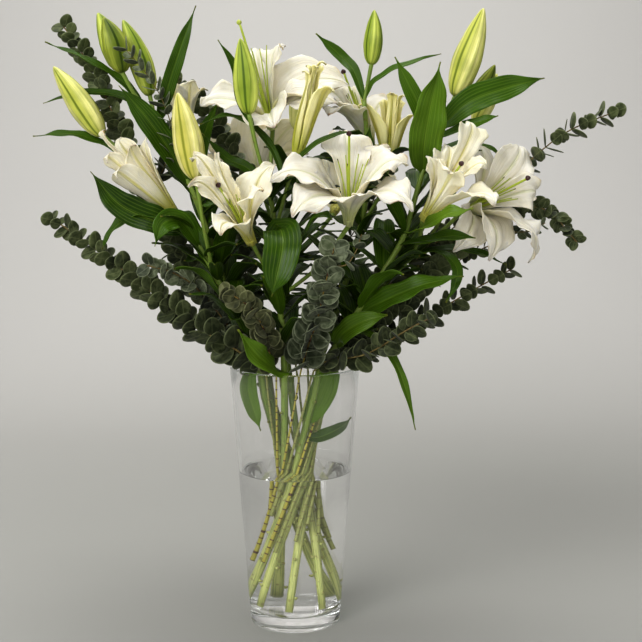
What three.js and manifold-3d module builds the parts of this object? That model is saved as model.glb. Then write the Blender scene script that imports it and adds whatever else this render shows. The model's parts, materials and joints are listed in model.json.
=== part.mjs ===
// A bouquet of white lilies and eucalyptus in a flared glass vase.
// Millimetres, +Z up. The origin is the middle of the vase's foot, on the surface it stands on.
// The side with the big open bloom faces -Y.

import * as THREE from 'three';
import Module from 'manifold-3d';

const wasm = await Module();
wasm.setup();

// Vase and water
const vaseHeight = 300;
const footRadius = 52;
const rimRadius = 74;
const wallThickness = 3.6;
const floorThickness = 16;
const waterLevel = 178;
const clearance = 0.3;
const rimRound = 0.8;

// The stems pass each other in a twisted bundle, narrowest a little under the water's surface.
const bundle = { waistZ: 154, waistRadius: 11.6, slope: 0.306, footZ: 23, neckZ: 300, radius: 3.9 };
const twigBundle = { waistZ: 165, waistRadius: 20, slope: 0.325, neckZ: 300, radius: 2.1 };

// Colours
const petalWhite = 0xf2f0e8;
const petalCream = 0xeee2b4;
const budGreen = 0xb7c25a;
const filamentGreen = 0xb8c45c;
const stemGreen = 0x547f2e;
const eucalyptusGreen = 0x455a48;

// Each stem: name, angle of its neck in degrees, the points above the neck,
// then its flower stalks, each with two points and the flower it carries.
const stems = [
  ['lily_stem_left', 154,
    [[-60, 16, 340], [-82, 8, 400], [-98, 0, 452], [-117, 0, 503], [-150, 8, 565], [-168, 12, 591]],
    [[[-167, 11, 589], [-180, 4, 608], 'bud_upper_left_front'],
      [[-165, 11, 586], [-184, 24, 612], 'bud_upper_left_back'],
      [[-150, 8, 565], [-158, 16, 584], 'bud_upper_left_inner'],
      [[-112, 0, 492], [-122, 16, 520], 'lily_back_left']]],
  ['lily_stem_far_left', 206,
    [[-60, -28, 345], [-84, -35, 400], [-104, -32, 436], [-116, -26, 452]],
    [[[-114, -26, 450], [-152, 12, 502], 'bud_left'],
      [[-112, -28, 446], [-122, -26, 460], 'lily_left'],
      [[-90, -35, 412], [-98, -46, 460], 'bud_pale_left']]],
  ['lily_stem_centre', 257,
    [[-12, -40, 340], [-18, -32, 390], [-21, -26, 440], [-23, -24, 475], [-29, -27, 505]],
    [[[-28, -27, 502], [-39, -35, 540], 'bud_centre_left'],
      [[-21, -25, 452], [-8, -36, 500], 'lily_half_open_centre'],
      [[-24, -24, 480], [-26, -5, 525], 'lily_top'],
      [[-18, -31, 395], [-30, -44, 414], 'lily_front_left'],
      [[-17, -34, 380], [30, -54, 420], 'lily_front']]],
  ['lily_stem_right', 309,
    [[50, -41, 334], [88, -37, 392], [121, -32, 448], [132, -30, 485], [145, -26, 528], [158, -21, 562]],
    [[[157, -21, 560], [169, -20, 583], 'bud_upper_right'],
      [[156, -21, 558], [180, -8, 580], 'bud_upper_right_small']]],
  ['lily_stem_far_right', 0,
    [[68, 0, 345], [105, 0, 396], [136, -6, 428], [156, -4, 447]],
    [[[153, -4, 444], [172, 0, 458], 'lily_far_right'],
      [[130, -5, 422], [138, -34, 446], 'lily_right'],
      [[152, -4, 443], [184, 24, 500], 'bud_far_right_back']]],
  ['lily_stem_inner', 51,
    [[45, 48, 345], [62, 55, 400], [76, 46, 455], [84, 38, 505], [82, 32, 560], [79, 30, 600]],
    [[[79, 30, 597], [83, 30, 618], 'bud_top'],
      [[76, 46, 455], [98, 44, 492], 'lily_half_open_right'],
      [[80, 42, 480], [86, 50, 515], 'lily_behind']]],
  ['lily_stem_back', 103,
    [[-15, 72, 360], [-12, 92, 420], [-4, 104, 470], [0, 112, 518]],
    [[[0, 111, 515], [2, 116, 545], 'bud_back'],
      [[-12, 92, 420], [-30, 108, 462], 'lily_rear_left'],
      [[-14, 86, 402], [18, 112, 434], 'lily_rear_right']]],
];

// Each leaf: its stem, its points from the stem to the tip, its width, and the way its face looks.
const leaves = [
  ['lily_stem_left', [[-152, 8, 572], [-137, 4, 612], [-122, 4, 652], [-107, 8, 700]], 22, [0.5, -1, 0.2]],
  ['lily_stem_left', [[-168, 12, 590], [-192, 26, 622], [-230, 24, 650], [-269, 20, 671]],
    13, [0, -0.6, 1]],
  ['lily_stem_left', [[-158, 10, 575], [-190, 22, 602], [-240, 24, 608], [-284, 20, 596]],
    12, [0, -0.8, 1]],
  ['lily_stem_left', [[-118, 0, 504], [-140, -14, 545], [-165, -22, 580], [-193, -26, 612]],
    28, [0.4, -1, 0.1]],
  ['lily_stem_left', [[-100, 0, 456], [-112, 34, 500], [-104, 40, 560], [-86, 30, 600]],
    20, [-0.4, -1, 0.2]],
  ['lily_stem_far_left', [[-116, -28, 455], [-150, -46, 466], [-188, -52, 484], [-220, -46, 520]],
    34, [0.3, -1, 0.5]],
  ['lily_stem_far_left', [[-112, -30, 448], [-142, -36, 470], [-172, -44, 474], [-196, -50, 458],
    [-209, -52, 436]], 19, [0.1, -0.6, 1]],
  ['lily_stem_far_left', [[-104, -33, 438], [-124, -56, 468], [-140, -66, 464], [-148, -72, 440]],
    24, [0.2, -1, 0.5]],
  ['lily_stem_far_left', [[-158, 12, 509], [-196, 2, 546], [-240, -6, 570], [-282, -10, 574]],
    13, [0, -0.5, 1]],
  ['lily_stem_centre', [[-10, -44, 298], [-22, -61, 304], [-46, -82, 322], [-72, -92, 350]],
    28, [-0.2, -0.8, 0.6]],
  ['lily_stem_far_left', [[-44, -21, 306], [-52, -25, 284], [-46, -24, 254], [-38, -20, 228]],
    18, [0.4, -1, 0]],
  ['lily_stem_centre', [[-8, -36, 502], [-24, -20, 545], [-50, -12, 573], [-76, -14, 581], [-104, -16, 571]],
    10, [0, -0.5, 1]],
  ['lily_stem_centre', [[-26, -26, 492], [-50, -16, 522], [-74, -12, 534], [-102, -8, 562]],
    13, [0, -1, 0.6]],
  ['lily_stem_centre', [[-25, -26, 488], [-6, -58, 522], [34, -76, 554], [68, -78, 564]], 12, [0, -0.6, 1]],
  ['lily_stem_centre', [[-21, -28, 430], [-14, -66, 458], [-10, -98, 444], [-16, -110, 412],
    [-22, -110, 390]], 40, [0, -1, 0.5]],
  ['lily_stem_centre', [[-20, -28, 420], [10, -52, 452], [30, -74, 474], [42, -92, 470]], 16, [0, -0.6, 1]],
  ['lily_stem_inner', [[79, 31, 600], [92, 24, 622], [122, 20, 638], [165, 20, 651]], 12, [0, -0.5, 1]],
  ['lily_stem_inner', [[84, 36, 506], [80, 8, 524], [80, -18, 545], [84, -26, 570]], 20, [0, -1, -0.3]],
  ['lily_stem_inner', [[79, 30, 599], [66, 46, 636], [46, 54, 657], [24, 52, 676]], 14, [0.4, -1, 0.2]],
  ['lily_stem_right', [[148, -24, 540], [142, -28, 578], [126, -32, 612], [110, -32, 643]],
    19, [-0.4, -1, 0.2]],
  ['lily_stem_right', [[142, -27, 518], [142, -44, 548], [148, -52, 590], [158, -54, 636]],
    38, [0.1, -1, -0.1]],
  ['lily_stem_right', [[160, -22, 566], [190, -30, 594], [232, -30, 610], [274, -24, 621]],
    30, [0, -1, 0.3]],
  ['lily_stem_right', [[156, -21, 556], [182, -30, 566], [204, -36, 574], [222, -40, 580]],
    15, [0, -0.8, 1]],
  ['lily_stem_right', [[146, -26, 530], [180, -18, 548], [214, -14, 544], [240, -18, 522]],
    13, [0, -0.5, 1]],
  ['lily_stem_right', [[124, -32, 452], [134, -76, 458], [162, -104, 476], [188, -114, 482]],
    21, [0, -0.7, 1]],
  ['lily_stem_right', [[116, -33, 440], [142, -62, 446], [170, -80, 452], [194, -86, 450]],
    18, [0, -0.7, 1]],
  ['lily_stem_right', [[68, -39, 362], [96, -52, 378], [138, -62, 397], [184, -68, 408]], 28, [0, -1, 0.8]],
  ['lily_stem_right', [[46, -41, 327], [54, -60, 344], [78, -70, 360], [102, -74, 366]],
    24, [0.2, -1, 0.7]],
  ['lily_stem_right', [[52, -41, 337], [80, -56, 344], [106, -72, 322], [122, -82, 285], [132, -88, 243]],
    11, [0.3, -0.5, 1]],
  ['lily_stem_right', [[12, -23, 236], [26, -30, 262], [38, -36, 290], [48, -44, 316]], 28, [0, -1, 0.2]],
  ['lily_stem_far_right', [[138, -6, 430], [172, -12, 434], [206, -14, 430], [238, -16, 416]],
    13, [0, -0.5, 1]],
  ['lily_stem_far_right', [[134, -6, 426], [160, -32, 432], [178, -50, 416], [176, -58, 398],
    [166, -60, 378]], 13, [0.3, -0.6, 1]],
];

// Leaves set by rule round each stem, to fill the bouquet: how many, and between which heights.
const leafRounds = [
  ['lily_stem_left', 3, 345, 480], ['lily_stem_far_left', 3, 345, 430], ['lily_stem_centre', 3, 345, 450],
  ['lily_stem_right', 3, 350, 470], ['lily_stem_far_right', 4, 340, 420], ['lily_stem_inner', 5, 345, 500],
  ['lily_stem_back', 6, 345, 490],
];

// Each bloom: name, base, the way it opens, colour, its petals (tip, width, curl of the tip),
// then how far its pistil reaches, or 0 where the bloom is still too closed to show one.
const blooms = [
  ['lily_front_left', [-45, -55, 443], [-0.34, -0.53, 0.78], petalCream,
    [[[-105, -95, 531], 38, 0.5], [[-80, -68, 540], 34, 0.1], [[-19, -50, 527], 48, 0.2],
      [[-107, -115, 504], 36, 0.3], [[-73, -125, 455], 40, 0.5], [[-30, -104, 500], 46, 0.3]], 76],
  ['lily_front', [60, -60, 464], [0.05, -0.36, 0.93], petalWhite,
    [[[54, -42, 562], 56, 0.1], [[-22, -110, 509], 52, 0.5], [[1, -140, 474], 50, 0.5],
      [[104, -50, 543], 52, 0.2], [[120, -90, 526], 46, 0.4], [[123, -140, 480], 50, 0.5]], 96],
  ['lily_top', [-25, 10, 568], [-0.25, 0.02, 0.97], petalWhite,
    [[[-102, -20, 591], 50, 0.6], [[-40, 54, 656], 44, 0.1], [[-10, 30, 660], 44, 0.1],
      [[62, 32, 616], 56, 0.4], [[-26, -52, 570], 48, 0.5], [[48, -6, 594], 50, 0.5]], 116],
  ['lily_half_open_centre', [4, -45, 538], [0.2, -0.02, 0.98], petalCream,
    [[[32, -32, 632], 30, 0], [[36, -48, 634], 28, 0.1], [[14, -38, 633], 30, 0],
      [[26, -58, 630], 28, 0], [[44, -62, 604], 32, 0.3], [[10, -54, 626], 30, 0]], 0],
  ['lily_half_open_right', [108, 42, 528], [0.06, 0, 1], petalCream,
    [[[110, 28, 607], 26, 0], [[128, 38, 604], 26, 0.1], [[140, 30, 578], 24, 0.5],
      [[72, 30, 582], 26, 0.5], [[122, 60, 600], 26, 0.1], [[100, 60, 600], 26, 0.1]], 0],
  ['lily_behind', [89, 50, 544], [-0.3, 0.1, 0.95], petalWhite,
    [[[31, 56, 604], 48, 0.4], [[68, 92, 614], 50, 0.3], [[38, 8, 582], 44, 0.5],
      [[30, 26, 592], 42, 0.5], [[124, 92, 602], 44, 0.4]], 90],
  ['lily_right', [141, -60, 469], [0.55, -0.2, 0.8], petalCream,
    [[[142, -66, 536], 36, 0], [[186, -50, 572], 44, 0.2], [[206, -74, 522], 42, 0.3],
      [[211, -106, 484], 44, 0.3], [[162, -106, 520], 38, 0.1], [[166, -30, 548], 40, 0.1]], 66],
  ['lily_far_right', [189, 0, 474], [0.75, -0.5, 0.42], petalWhite,
    [[[207, 22, 552], 54, 0.2], [[254, 18, 545], 52, 0.3], [[258, -42, 420], 44, 0.6],
      [[173, -60, 434], 50, 0.6], [[212, -56, 424], 42, 0.6], [[268, -6, 492], 46, 0.4]], 84],
  ['lily_left', [-134, -20, 475], [-0.66, -0.2, 0.72], petalCream,
    [[[-205, -32, 565], 34, 0.1], [[-199, -62, 529], 34, 0.4], [[-187, -72, 512], 32, 0.5],
      [[-158, -12, 560], 34, 0.1], [[-192, 2, 556], 34, 0.2], [[-168, -60, 548], 34, 0.2]], 0],
  ['lily_back_left', [-125, 30, 555], [-0.1, 0.15, 0.98], petalCream,
    [[[-158, 38, 620], 30, 0.2], [[-100, 50, 612], 30, 0.2], [[-126, 70, 618], 32, 0.2],
      [[-142, 8, 618], 28, 0.1], [[-112, 14, 620], 30, 0.1]], 0],
  ['lily_rear_left', [-43, 124, 498], [-0.3, 0.62, 0.72], petalWhite,
    [[[-50, 108, 598], 50, 0.2], [[-122, 130, 566], 50, 0.4], [[-126, 178, 510], 46, 0.5],
      [[-56, 218, 510], 48, 0.5], [[14, 192, 540], 50, 0.4], [[10, 134, 580], 46, 0.2]], 88],
  ['lily_rear_right', [46, 134, 468], [0.3, 0.75, 0.58], petalCream,
    [[[60, 142, 566], 48, 0.2], [[2, 200, 528], 42, 0.3], [[10, 214, 474], 46, 0.5],
      [[76, 218, 448], 48, 0.5], [[134, 192, 484], 46, 0.5], [[122, 148, 546], 46, 0.3]], 82],
];

// Each bud: name, base, tip, widest radius, colour.
const buds = [
  ['bud_left', [-214, 0, 559], [-267, 0, 635], 14, budGreen],
  ['bud_upper_left_inner', [-163, 20, 604], [-192, 20, 688], 13, budGreen],
  ['bud_upper_left_front', [-190, -2, 628], [-210, -2, 688], 14, 0x6f8f34],
  ['bud_upper_left_back', [-200, 30, 634], [-222, 32, 697], 13, budGreen],
  ['bud_centre_left', [-48, -40, 581], [-57, -40, 662], 13, 0x8fae48],
  ['bud_top', [87, 30, 639], [90, 30, 700], 10.5, 0xa4c25c],
  ['bud_upper_right', [177, -20, 601], [207, -20, 696], 15, budGreen],
  ['bud_upper_right_small', [197, 0, 596], [223, 0, 637], 9, 0x8aa743],
  ['bud_far_right_back', [207, 40, 572], [231, 40, 630], 11, budGreen],
  ['bud_pale_left', [-105, -50, 511], [-124, -50, 604], 15, 0xdfd98c],
  ['bud_back', [2, 118, 567], [6, 124, 642], 14, budGreen],
];

// Each eucalyptus spray: name, angle of its neck, height of its cut end, the points above the neck,
// leaf length at the first and the last pair, distance between pairs, share of the twig below the leaves.
const sprays = [
  ['eucalyptus_upper_left', 176, 118, [[-80, 0, 345], [-122, 12, 412], [-166, 26, 492], [-202, 32, 572],
    [-230, 30, 636], [-262, 30, 684]], 21, 14, 17, 0.42],
  ['eucalyptus_left', 228, 96, [[-62, -40, 322], [-90, -44, 338], [-132, -44, 369], [-176, -42, 403],
    [-222, -36, 438], [-268, -30, 469]], 26, 15, 18, 0.08],
  ['eucalyptus_left_pale', 194, 132, [[-70, -8, 338], [-98, -20, 378], [-124, -60, 408], [-156, -76, 420]],
    19, 14, 17, 0.3],
  ['eucalyptus_front_low', 246, 128, [[-28, -58, 328], [-32, -78, 352], [-46, -94, 378], [-70, -100, 394]],
    19, 14, 14, 0.25],
  ['eucalyptus_front', 279, 70, [[15, -63, 328], [26, -86, 362], [34, -102, 400], [44, -112, 442]],
    23, 16, 13, 0.04],
  ['eucalyptus_right_high', 22, 104, [[92, 30, 372], [166, 34, 440], [228, 20, 496], [280, 4, 545],
    [318, 0, 571], [361, 0, 587]], 21, 15, 17, 0.52],
  ['eucalyptus_right', 349, 90, [[90, -8, 336], [155, 20, 400], [212, 34, 458], [259, 28, 482],
    [296, 16, 470], [320, 6, 440]], 16, 11, 14, 0.5],
  ['eucalyptus_right_low', 331, 76, [[68, -22, 312], [98, -12, 325], [156, 2, 358], [205, 8, 386],
    [247, 8, 409]], 21, 14, 17, 0.3],
  ['eucalyptus_right_back', 40, 122, [[66, 56, 336], [122, 66, 376], [170, 60, 402], [205, 58, 422],
    [242, 60, 438]], 21, 13, 19, 0.25],
  ['eucalyptus_front_right', 297, 130, [[34, -54, 312], [72, -66, 320], [96, -82, 334], [116, -96, 350],
    [144, -104, 366]], 20, 15, 17, 0.25],
  ['eucalyptus_back_left', 143, 84, [[-56, 56, 372], [-62, 76, 450], [-62, 78, 515], [-82, 80, 550],
    [-105, 78, 590], [-137, 68, 622]], 22, 17, 19, 0.35],
  ['eucalyptus_inner', 91, 126, [[24, 70, 350], [48, 90, 410], [84, 92, 470], [112, 86, 520]],
    21, 15, 24, 0.2],
  ['eucalyptus_rear_left', 125, 100, [[-54, 92, 350], [-104, 130, 392], [-158, 150, 420]], 23, 15, 24, 0.2],
  ['eucalyptus_rear_right', 73, 110, [[60, 104, 356], [124, 136, 408], [178, 148, 446]], 23, 15, 24, 0.2],
];

const vector = (point) => new THREE.Vector3(...point);
const degrees = (angle) => (angle * Math.PI) / 180;

// The same run of numbers every time, from a start number
function numbersFrom(start) {
  let state = start;
  return () => {
    state = (state * 1664525 + 1013904223) % 4294967296;
    return state / 4294967296;
  };
}

// A closed skin over rings of points, ending in a point or a flat end
function loft(rings, startPoint, endPoint) {
  const sides = rings[0].length;
  const points = rings.flat();
  const triangles = [];
  for (let ring = 0; ring < rings.length - 1; ring += 1) {
    for (let side = 0; side < sides; side += 1) {
      const next = (side + 1) % sides;
      const a = ring * sides + side;
      const b = ring * sides + next;
      triangles.push([a, b, b + sides], [a, b + sides, a + sides]);
    }
  }
  const last = (rings.length - 1) * sides;
  if (startPoint) points.push(startPoint);
  const start = startPoint ? points.length - 1 : null;
  if (endPoint) points.push(endPoint);
  const end = endPoint ? points.length - 1 : null;
  for (let side = 0; side < sides; side += 1) {
    const next = (side + 1) % sides;
    if (startPoint) triangles.push([start, next, side]);
    else if (side > 0 && next > 0) triangles.push([0, next, side]);
    if (endPoint) triangles.push([end, last + side, last + next]);
    else if (side > 0 && next > 0) triangles.push([last, last + side, last + next]);
  }
  return solidOf(points, triangles);
}

// Points and triangles as a solid, turned inside out if its faces point in
function solidOf(points, triangles) {
  let volume = 0;
  for (const [a, b, c] of triangles) {
    volume += points[a].dot(points[b].clone().cross(points[c])) / 6;
  }
  const order = volume < 0 ? triangles.map(([a, b, c]) => [a, c, b]) : triangles;
  return new wasm.Manifold(new wasm.Mesh({
    numProp: 3,
    vertProperties: new Float32Array(points.flatMap((p) => p.toArray())),
    triVerts: new Uint32Array(order.flat()),
  }));
}

// A three.js geometry as a solid, its shared points joined
function solidFromGeometry(geometry) {
  const position = geometry.attributes.position;
  const seen = new Map();
  const points = [];
  const index = [];
  for (let i = 0; i < position.count; i += 1) {
    const point = new THREE.Vector3().fromBufferAttribute(position, i);
    const key = point.toArray().map((value) => Math.round(value * 1e4)).join();
    if (!seen.has(key)) {
      seen.set(key, points.length);
      points.push(point);
    }
    index.push(seen.get(key));
  }
  const triangles = [];
  const order = geometry.index.array;
  for (let i = 0; i < order.length; i += 3) {
    const triangle = [index[order[i]], index[order[i + 1]], index[order[i + 2]]];
    if (new Set(triangle).size === 3) triangles.push(triangle);
  }
  return solidOf(points, triangles);
}

// Bits joined in one body: sealed pockets are filled and loose scraps dropped
function fuse(bits) {
  const pieces = wasm.Manifold.union(bits).simplify(0.05).decompose();
  return pieces.reduce((best, piece) => (piece.volume() > best.volume() ? piece : best));
}

function meshOf(name, solid, colour, roughness) {
  const { vertProperties, triVerts } = solid.getMesh();
  const geometry = new THREE.BufferGeometry();
  geometry.setAttribute('position', new THREE.BufferAttribute(new Float32Array(vertProperties), 3));
  geometry.setIndex(new THREE.BufferAttribute(new Uint32Array(triVerts), 1));
  geometry.computeVertexNormals();
  const material = new THREE.MeshStandardMaterial({ color: colour, roughness, metalness: 0 });
  const mesh = new THREE.Mesh(geometry, material);
  mesh.name = name;
  return mesh;
}

// A point on a straight stem in the bundle, at a height
function bundlePoint(neckAngle, height, family) {
  const lean = Math.atan2(family.slope * (family.neckZ - family.waistZ), family.waistRadius);
  const angle = degrees(neckAngle) - lean;
  const drift = family.slope * (height - family.waistZ);
  return new THREE.Vector3(
    family.waistRadius * Math.cos(angle) - drift * Math.sin(angle),
    family.waistRadius * Math.sin(angle) + drift * Math.cos(angle),
    height,
  );
}

// No stem runs this way, so it sets the turn of every bar
const crossways = new THREE.Vector3(0.3, 0.9, 0.1).normalize();

// A round bar along points, with a radius for each end and, where given, the way its last end looks
function bar(points, startRadius, endRadius, sides, endAlong) {
  const rings = points.map((point, i) => {
    const before = points[Math.max(i - 1, 0)];
    const after = points[Math.min(i + 1, points.length - 1)];
    const isLast = i === points.length - 1;
    const along = isLast && endAlong ? endAlong : after.clone().sub(before).normalize();
    const side = along.clone().cross(crossways).normalize();
    const other = side.clone().cross(along);
    const radius = THREE.MathUtils.lerp(startRadius, endRadius, i / (points.length - 1));
    return Array.from({ length: sides }, (unused, k) => {
      const turn = (2 * Math.PI * k) / sides;
      return point.clone()
        .addScaledVector(side, radius * Math.cos(turn))
        .addScaledVector(other, radius * Math.sin(turn));
    });
  });
  return loft(rings, null, null);
}

// The straight foot of a stem, then its curved top
function stemLine(foot, neck, points, steps) {
  const curve = new THREE.CatmullRomCurve3([neck, ...points.map(vector)]);
  return [foot, ...curve.getSpacedPoints(steps)];
}

// How a blade is made up: rings along it, lift of its edges, ripple of its edges, thickness at its rib
const leafForm = { steps: 4, fold: 0.28, wave: 0.6, thickness: 1.3 };
const petalForm = { steps: 5, fold: 0.22, wave: 1.4, thickness: 1.6 };
const rippleTurn = 2.1;

// Cross-section of a blade at each step: two edges, a raised rib above and one below
function bladeRings(curve, halfWidth, facing, { steps, fold, wave, thickness }) {
  const rings = [];
  for (let step = 1; step < steps; step += 1) {
    const share = step / steps;
    const point = curve.getPoint(share);
    const along = curve.getTangent(share);
    const side = along.clone().cross(facing).normalize();
    const up = side.clone().cross(along);
    const half = halfWidth(share);
    const ripple = wave * Math.sin(step * rippleTurn);
    const lift = fold * half;
    rings.push([
      point.clone().addScaledVector(side, -half).addScaledVector(up, lift + ripple),
      point.clone().addScaledVector(up, thickness / 2),
      point.clone().addScaledVector(side, half).addScaledVector(up, lift - ripple),
      point.clone().addScaledVector(up, -thickness / 2),
    ]);
  }
  return rings;
}

// What has been placed so far, for each node
const placed = [];

function place(node, solid) {
  placed.push({ node, solid, box: solid.boundingBox() });
  return solid;
}

function isClear(node, solid) {
  const box = solid.boundingBox();
  return placed.every((other) => other.node === node
    || [0, 1, 2].some((axis) => box.min[axis] > other.box.max[axis] + clearance
      || box.max[axis] < other.box.min[axis] - clearance)
    || solid.minGap(other.solid, clearance) >= clearance);
}

// The ways a blade may be bent off its line: towards its face, then to its side
const bends = [[0, 0], [1, 0], [-1, 0], [0, 1], [0, -1], [2, 0], [-2, 0], [1, 1], [-1, 1], [1, -1], [-1, -1],
  [0, 2], [0, -2], [3, 0], [-3, 0], [2, 2], [-2, 2], [2, -2], [-2, -2], [0, 3], [0, -3], [4, 0], [-4, 0]];
const bendShare = 0.07;

// A blade bent no more than it must be to pass its neighbours, or none where it can't
function settle(node, make) {
  for (const bend of bends) {
    const blade = make(bend);
    if (isClear(node, blade)) return place(node, blade);
  }
  return null;
}

// Lance-shaped: broadest a little before the middle
const leafWidthAt = (share) => Math.sin(Math.PI * (share * 0.86 + 0.1)) ** 0.8;
const bendGrowth = 1.3;

function leaf(points, width, facing, bend) {
  const start = vector(points[0]);
  const end = vector(points.at(-1));
  const along = end.clone().sub(start);
  const side = along.clone().cross(facing).normalize();
  const out = side.clone().cross(along).normalize();
  const reach = along.length() * bendShare;
  const line = points.map((point, i) => vector(point)
    .addScaledVector(out, bend[0] * reach * (i / (points.length - 1)) ** bendGrowth)
    .addScaledVector(side, bend[1] * reach * (i / (points.length - 1)) ** bendGrowth));
  const curve = new THREE.CatmullRomCurve3(line);
  const rings = bladeRings(curve, (share) => (width / 2) * leafWidthAt(share), facing, leafForm);
  return loft(rings, curve.getPoint(0), curve.getPoint(1));
}

// A petal overlaps its neighbours only a little low in the bloom. Its line is a curve with two handles:
// one up the tube from its root, further out in a bloom that is still closed, and one that brings it
// out to its tip, higher the more the tip curls.
const petalShare = 0.72;
const petalRoot = { out: 3.2, down: 1 };
const tubeHandle = { up: 0.42, out: 0.04, outClosed: 0.15 };
const tipHandle = { up: 0.1, curlUp: 0.45, back: 0.24 };
const inwardLook = 0.9;
const petalWidthAt = (share) => Math.sin(Math.PI * (0.03 + 0.97 * share) ** 1.1) ** 0.7;

// A petal leaves the base along the bloom's axis and turns out to its tip
function petal(base, axis, tip, width, curl, isClosed, bend) {
  const start = vector(base);
  const end = vector(tip);
  const span = end.clone().sub(start);
  const length = span.length();
  const out = span.clone().addScaledVector(axis, -span.dot(axis)).normalize();
  const side = axis.clone().cross(out).normalize();
  end.addScaledVector(axis, bend[0] * length * bendShare).addScaledVector(side, bend[1] * length * bendShare);
  start.addScaledVector(out, petalRoot.out).addScaledVector(axis, -petalRoot.down);
  const swell = length * (isClosed ? tubeHandle.outClosed : tubeHandle.out);
  const curve = new THREE.CubicBezierCurve3(
    start,
    start.clone().addScaledVector(axis, length * tubeHandle.up).addScaledVector(out, swell),
    end.clone().addScaledVector(axis, length * (tipHandle.up + curl * tipHandle.curlUp))
      .addScaledVector(out, -length * tipHandle.back),
    end,
  );
  const facing = axis.clone().addScaledVector(out, -inwardLook);
  const widthAt = (share) => {
    const offset = curve.getPoint(share).sub(vector(base));
    const fromAxis = offset.addScaledVector(axis, -offset.dot(axis)).length();
    return Math.min(petalWidthAt(share) * (width / 2), fromAxis * petalShare);
  };
  const rings = bladeRings(curve, widthAt, facing, petalForm);
  return loft(rings, curve.getPoint(0), curve.getPoint(1));
}

const group = new THREE.Group();
const bits = new Map();

function addBit(node, bit) {
  if (!bits.has(node)) bits.set(node, []);
  if (bit) bits.get(node).push(bit);
}

// Vase: a plain flared cone with a thick floor and a rounded rim
const wallLean = (rimRadius - footRadius) / vaseHeight;
const outerAt = (height) => footRadius + wallLean * height;
const innerAt = (height) => outerAt(height) - wallThickness;
const floorRound = 5;
const footBevel = 1.5;
const vaseProfile = [
  [0, 0], [footRadius - footBevel, 0], [outerAt(footBevel), footBevel],
  [outerAt(vaseHeight - rimRound), vaseHeight - rimRound],
  [rimRadius - rimRound, vaseHeight], [innerAt(vaseHeight) + rimRound, vaseHeight],
  [innerAt(vaseHeight - rimRound), vaseHeight - rimRound],
  [innerAt(floorThickness + floorRound), floorThickness + floorRound],
  [innerAt(floorThickness) - floorRound, floorThickness], [0, floorThickness],
].map(([radius, height]) => new THREE.Vector2(Math.max(radius, 0), height));
const glassSides = 28;
const lathed = (profile) => {
  const geometry = new THREE.LatheGeometry(profile, glassSides);
  geometry.rotateX(Math.PI / 2);
  return solidFromGeometry(geometry);
};
place('vase', lathed(vaseProfile));

// Water: stands a little clear of the glass, with a plain hole for each stem and twig
const cornerClearance = 0.45;
const waterProfile = [
  [0, floorThickness + clearance],
  [innerAt(floorThickness) - floorRound - cornerClearance, floorThickness + clearance],
  [innerAt(floorThickness + floorRound) - cornerClearance, floorThickness + floorRound],
  [innerAt(waterLevel) - clearance, waterLevel], [0, waterLevel],
].map(([radius, height]) => new THREE.Vector2(radius, height));
let water = lathed(waterProfile);

// Where a flower sits on its stalk: just under the base of a bloom or a bud
const seatDepth = 3;
function seatOf(flower) {
  const bloom = blooms.find(([name]) => name === flower);
  const [, base, second] = bloom ?? buds.find(([name]) => name === flower);
  const along = bloom ? vector(second).normalize() : vector(second).sub(vector(base)).normalize();
  const depth = bloom ? seatDepth + clearance : clearance;
  return { point: vector(base).addScaledVector(along, -depth), along };
}

// Stems
const stemSides = 6;
const stemTopRadius = 2.6;
const stalkSides = 5;
const stalkRadii = [2.1, 2.4];
const twigSides = 4;
const twigTipRadius = 0.9;
const holeSides = 6;
const holeSlack = 0.75;
const holeTop = waterLevel + 6;

// A straight hole in the water round the foot of a stem
function drill(neckAngle, footZ, family) {
  const ends = [footZ - clearance, holeTop].map((height) => bundlePoint(neckAngle, height, family));
  return bar(ends, family.radius + holeSlack, family.radius + holeSlack, holeSides);
}

for (const [name, neckAngle, points, stalks] of stems) {
  const foot = bundlePoint(neckAngle, bundle.footZ, bundle);
  const neck = bundlePoint(neckAngle, bundle.neckZ, bundle);
  const line = stemLine(foot, neck, points, 8);
  addBit(name, place(name, bar(line, bundle.radius, stemTopRadius, stemSides)));
  for (const [from, through, flower] of stalks) {
    const seat = seatOf(flower);
    const curve = new THREE.CatmullRomCurve3([vector(from), vector(through), seat.point]);
    addBit(name, place(name, bar(curve.getSpacedPoints(3), ...stalkRadii, stalkSides, seat.along)));
  }
  water = water.subtract(drill(neckAngle, bundle.footZ, bundle));
}

// Twigs
const twigLines = new Map();
for (const [name, neckAngle, footZ, points] of sprays) {
  const foot = bundlePoint(neckAngle, footZ, twigBundle);
  const neck = bundlePoint(neckAngle, twigBundle.neckZ, twigBundle);
  const line = stemLine(foot, neck, points, 7);
  twigLines.set(name, line);
  place(name, bar(line, twigBundle.radius, twigTipRadius, twigSides));
  water = water.subtract(drill(neckAngle, footZ, twigBundle));
}
place('water', water);

// Buds: six-sided, fullest below the middle and drawn out to a point
const budShape = [[0.04, 0.5], [0.18, 0.86], [0.42, 1], [0.68, 0.8], [0.9, 0.36]];
for (const [name, base, tip, radius] of buds) {
  const start = vector(base);
  const span = vector(tip).sub(start);
  const along = span.clone().normalize();
  const side = along.clone().cross(new THREE.Vector3(0, 1, 0)).normalize();
  const other = side.clone().cross(along);
  const rings = budShape.map(([share, swell]) => Array.from({ length: 6 }, (unused, k) => {
    const turn = (Math.PI * k) / 3;
    return start.clone().addScaledVector(span, share)
      .addScaledVector(side, radius * swell * Math.cos(turn))
      .addScaledVector(other, radius * swell * Math.sin(turn));
  }));
  addBit(name, place(name, loft(rings, start, start.clone().add(span))));
}

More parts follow.
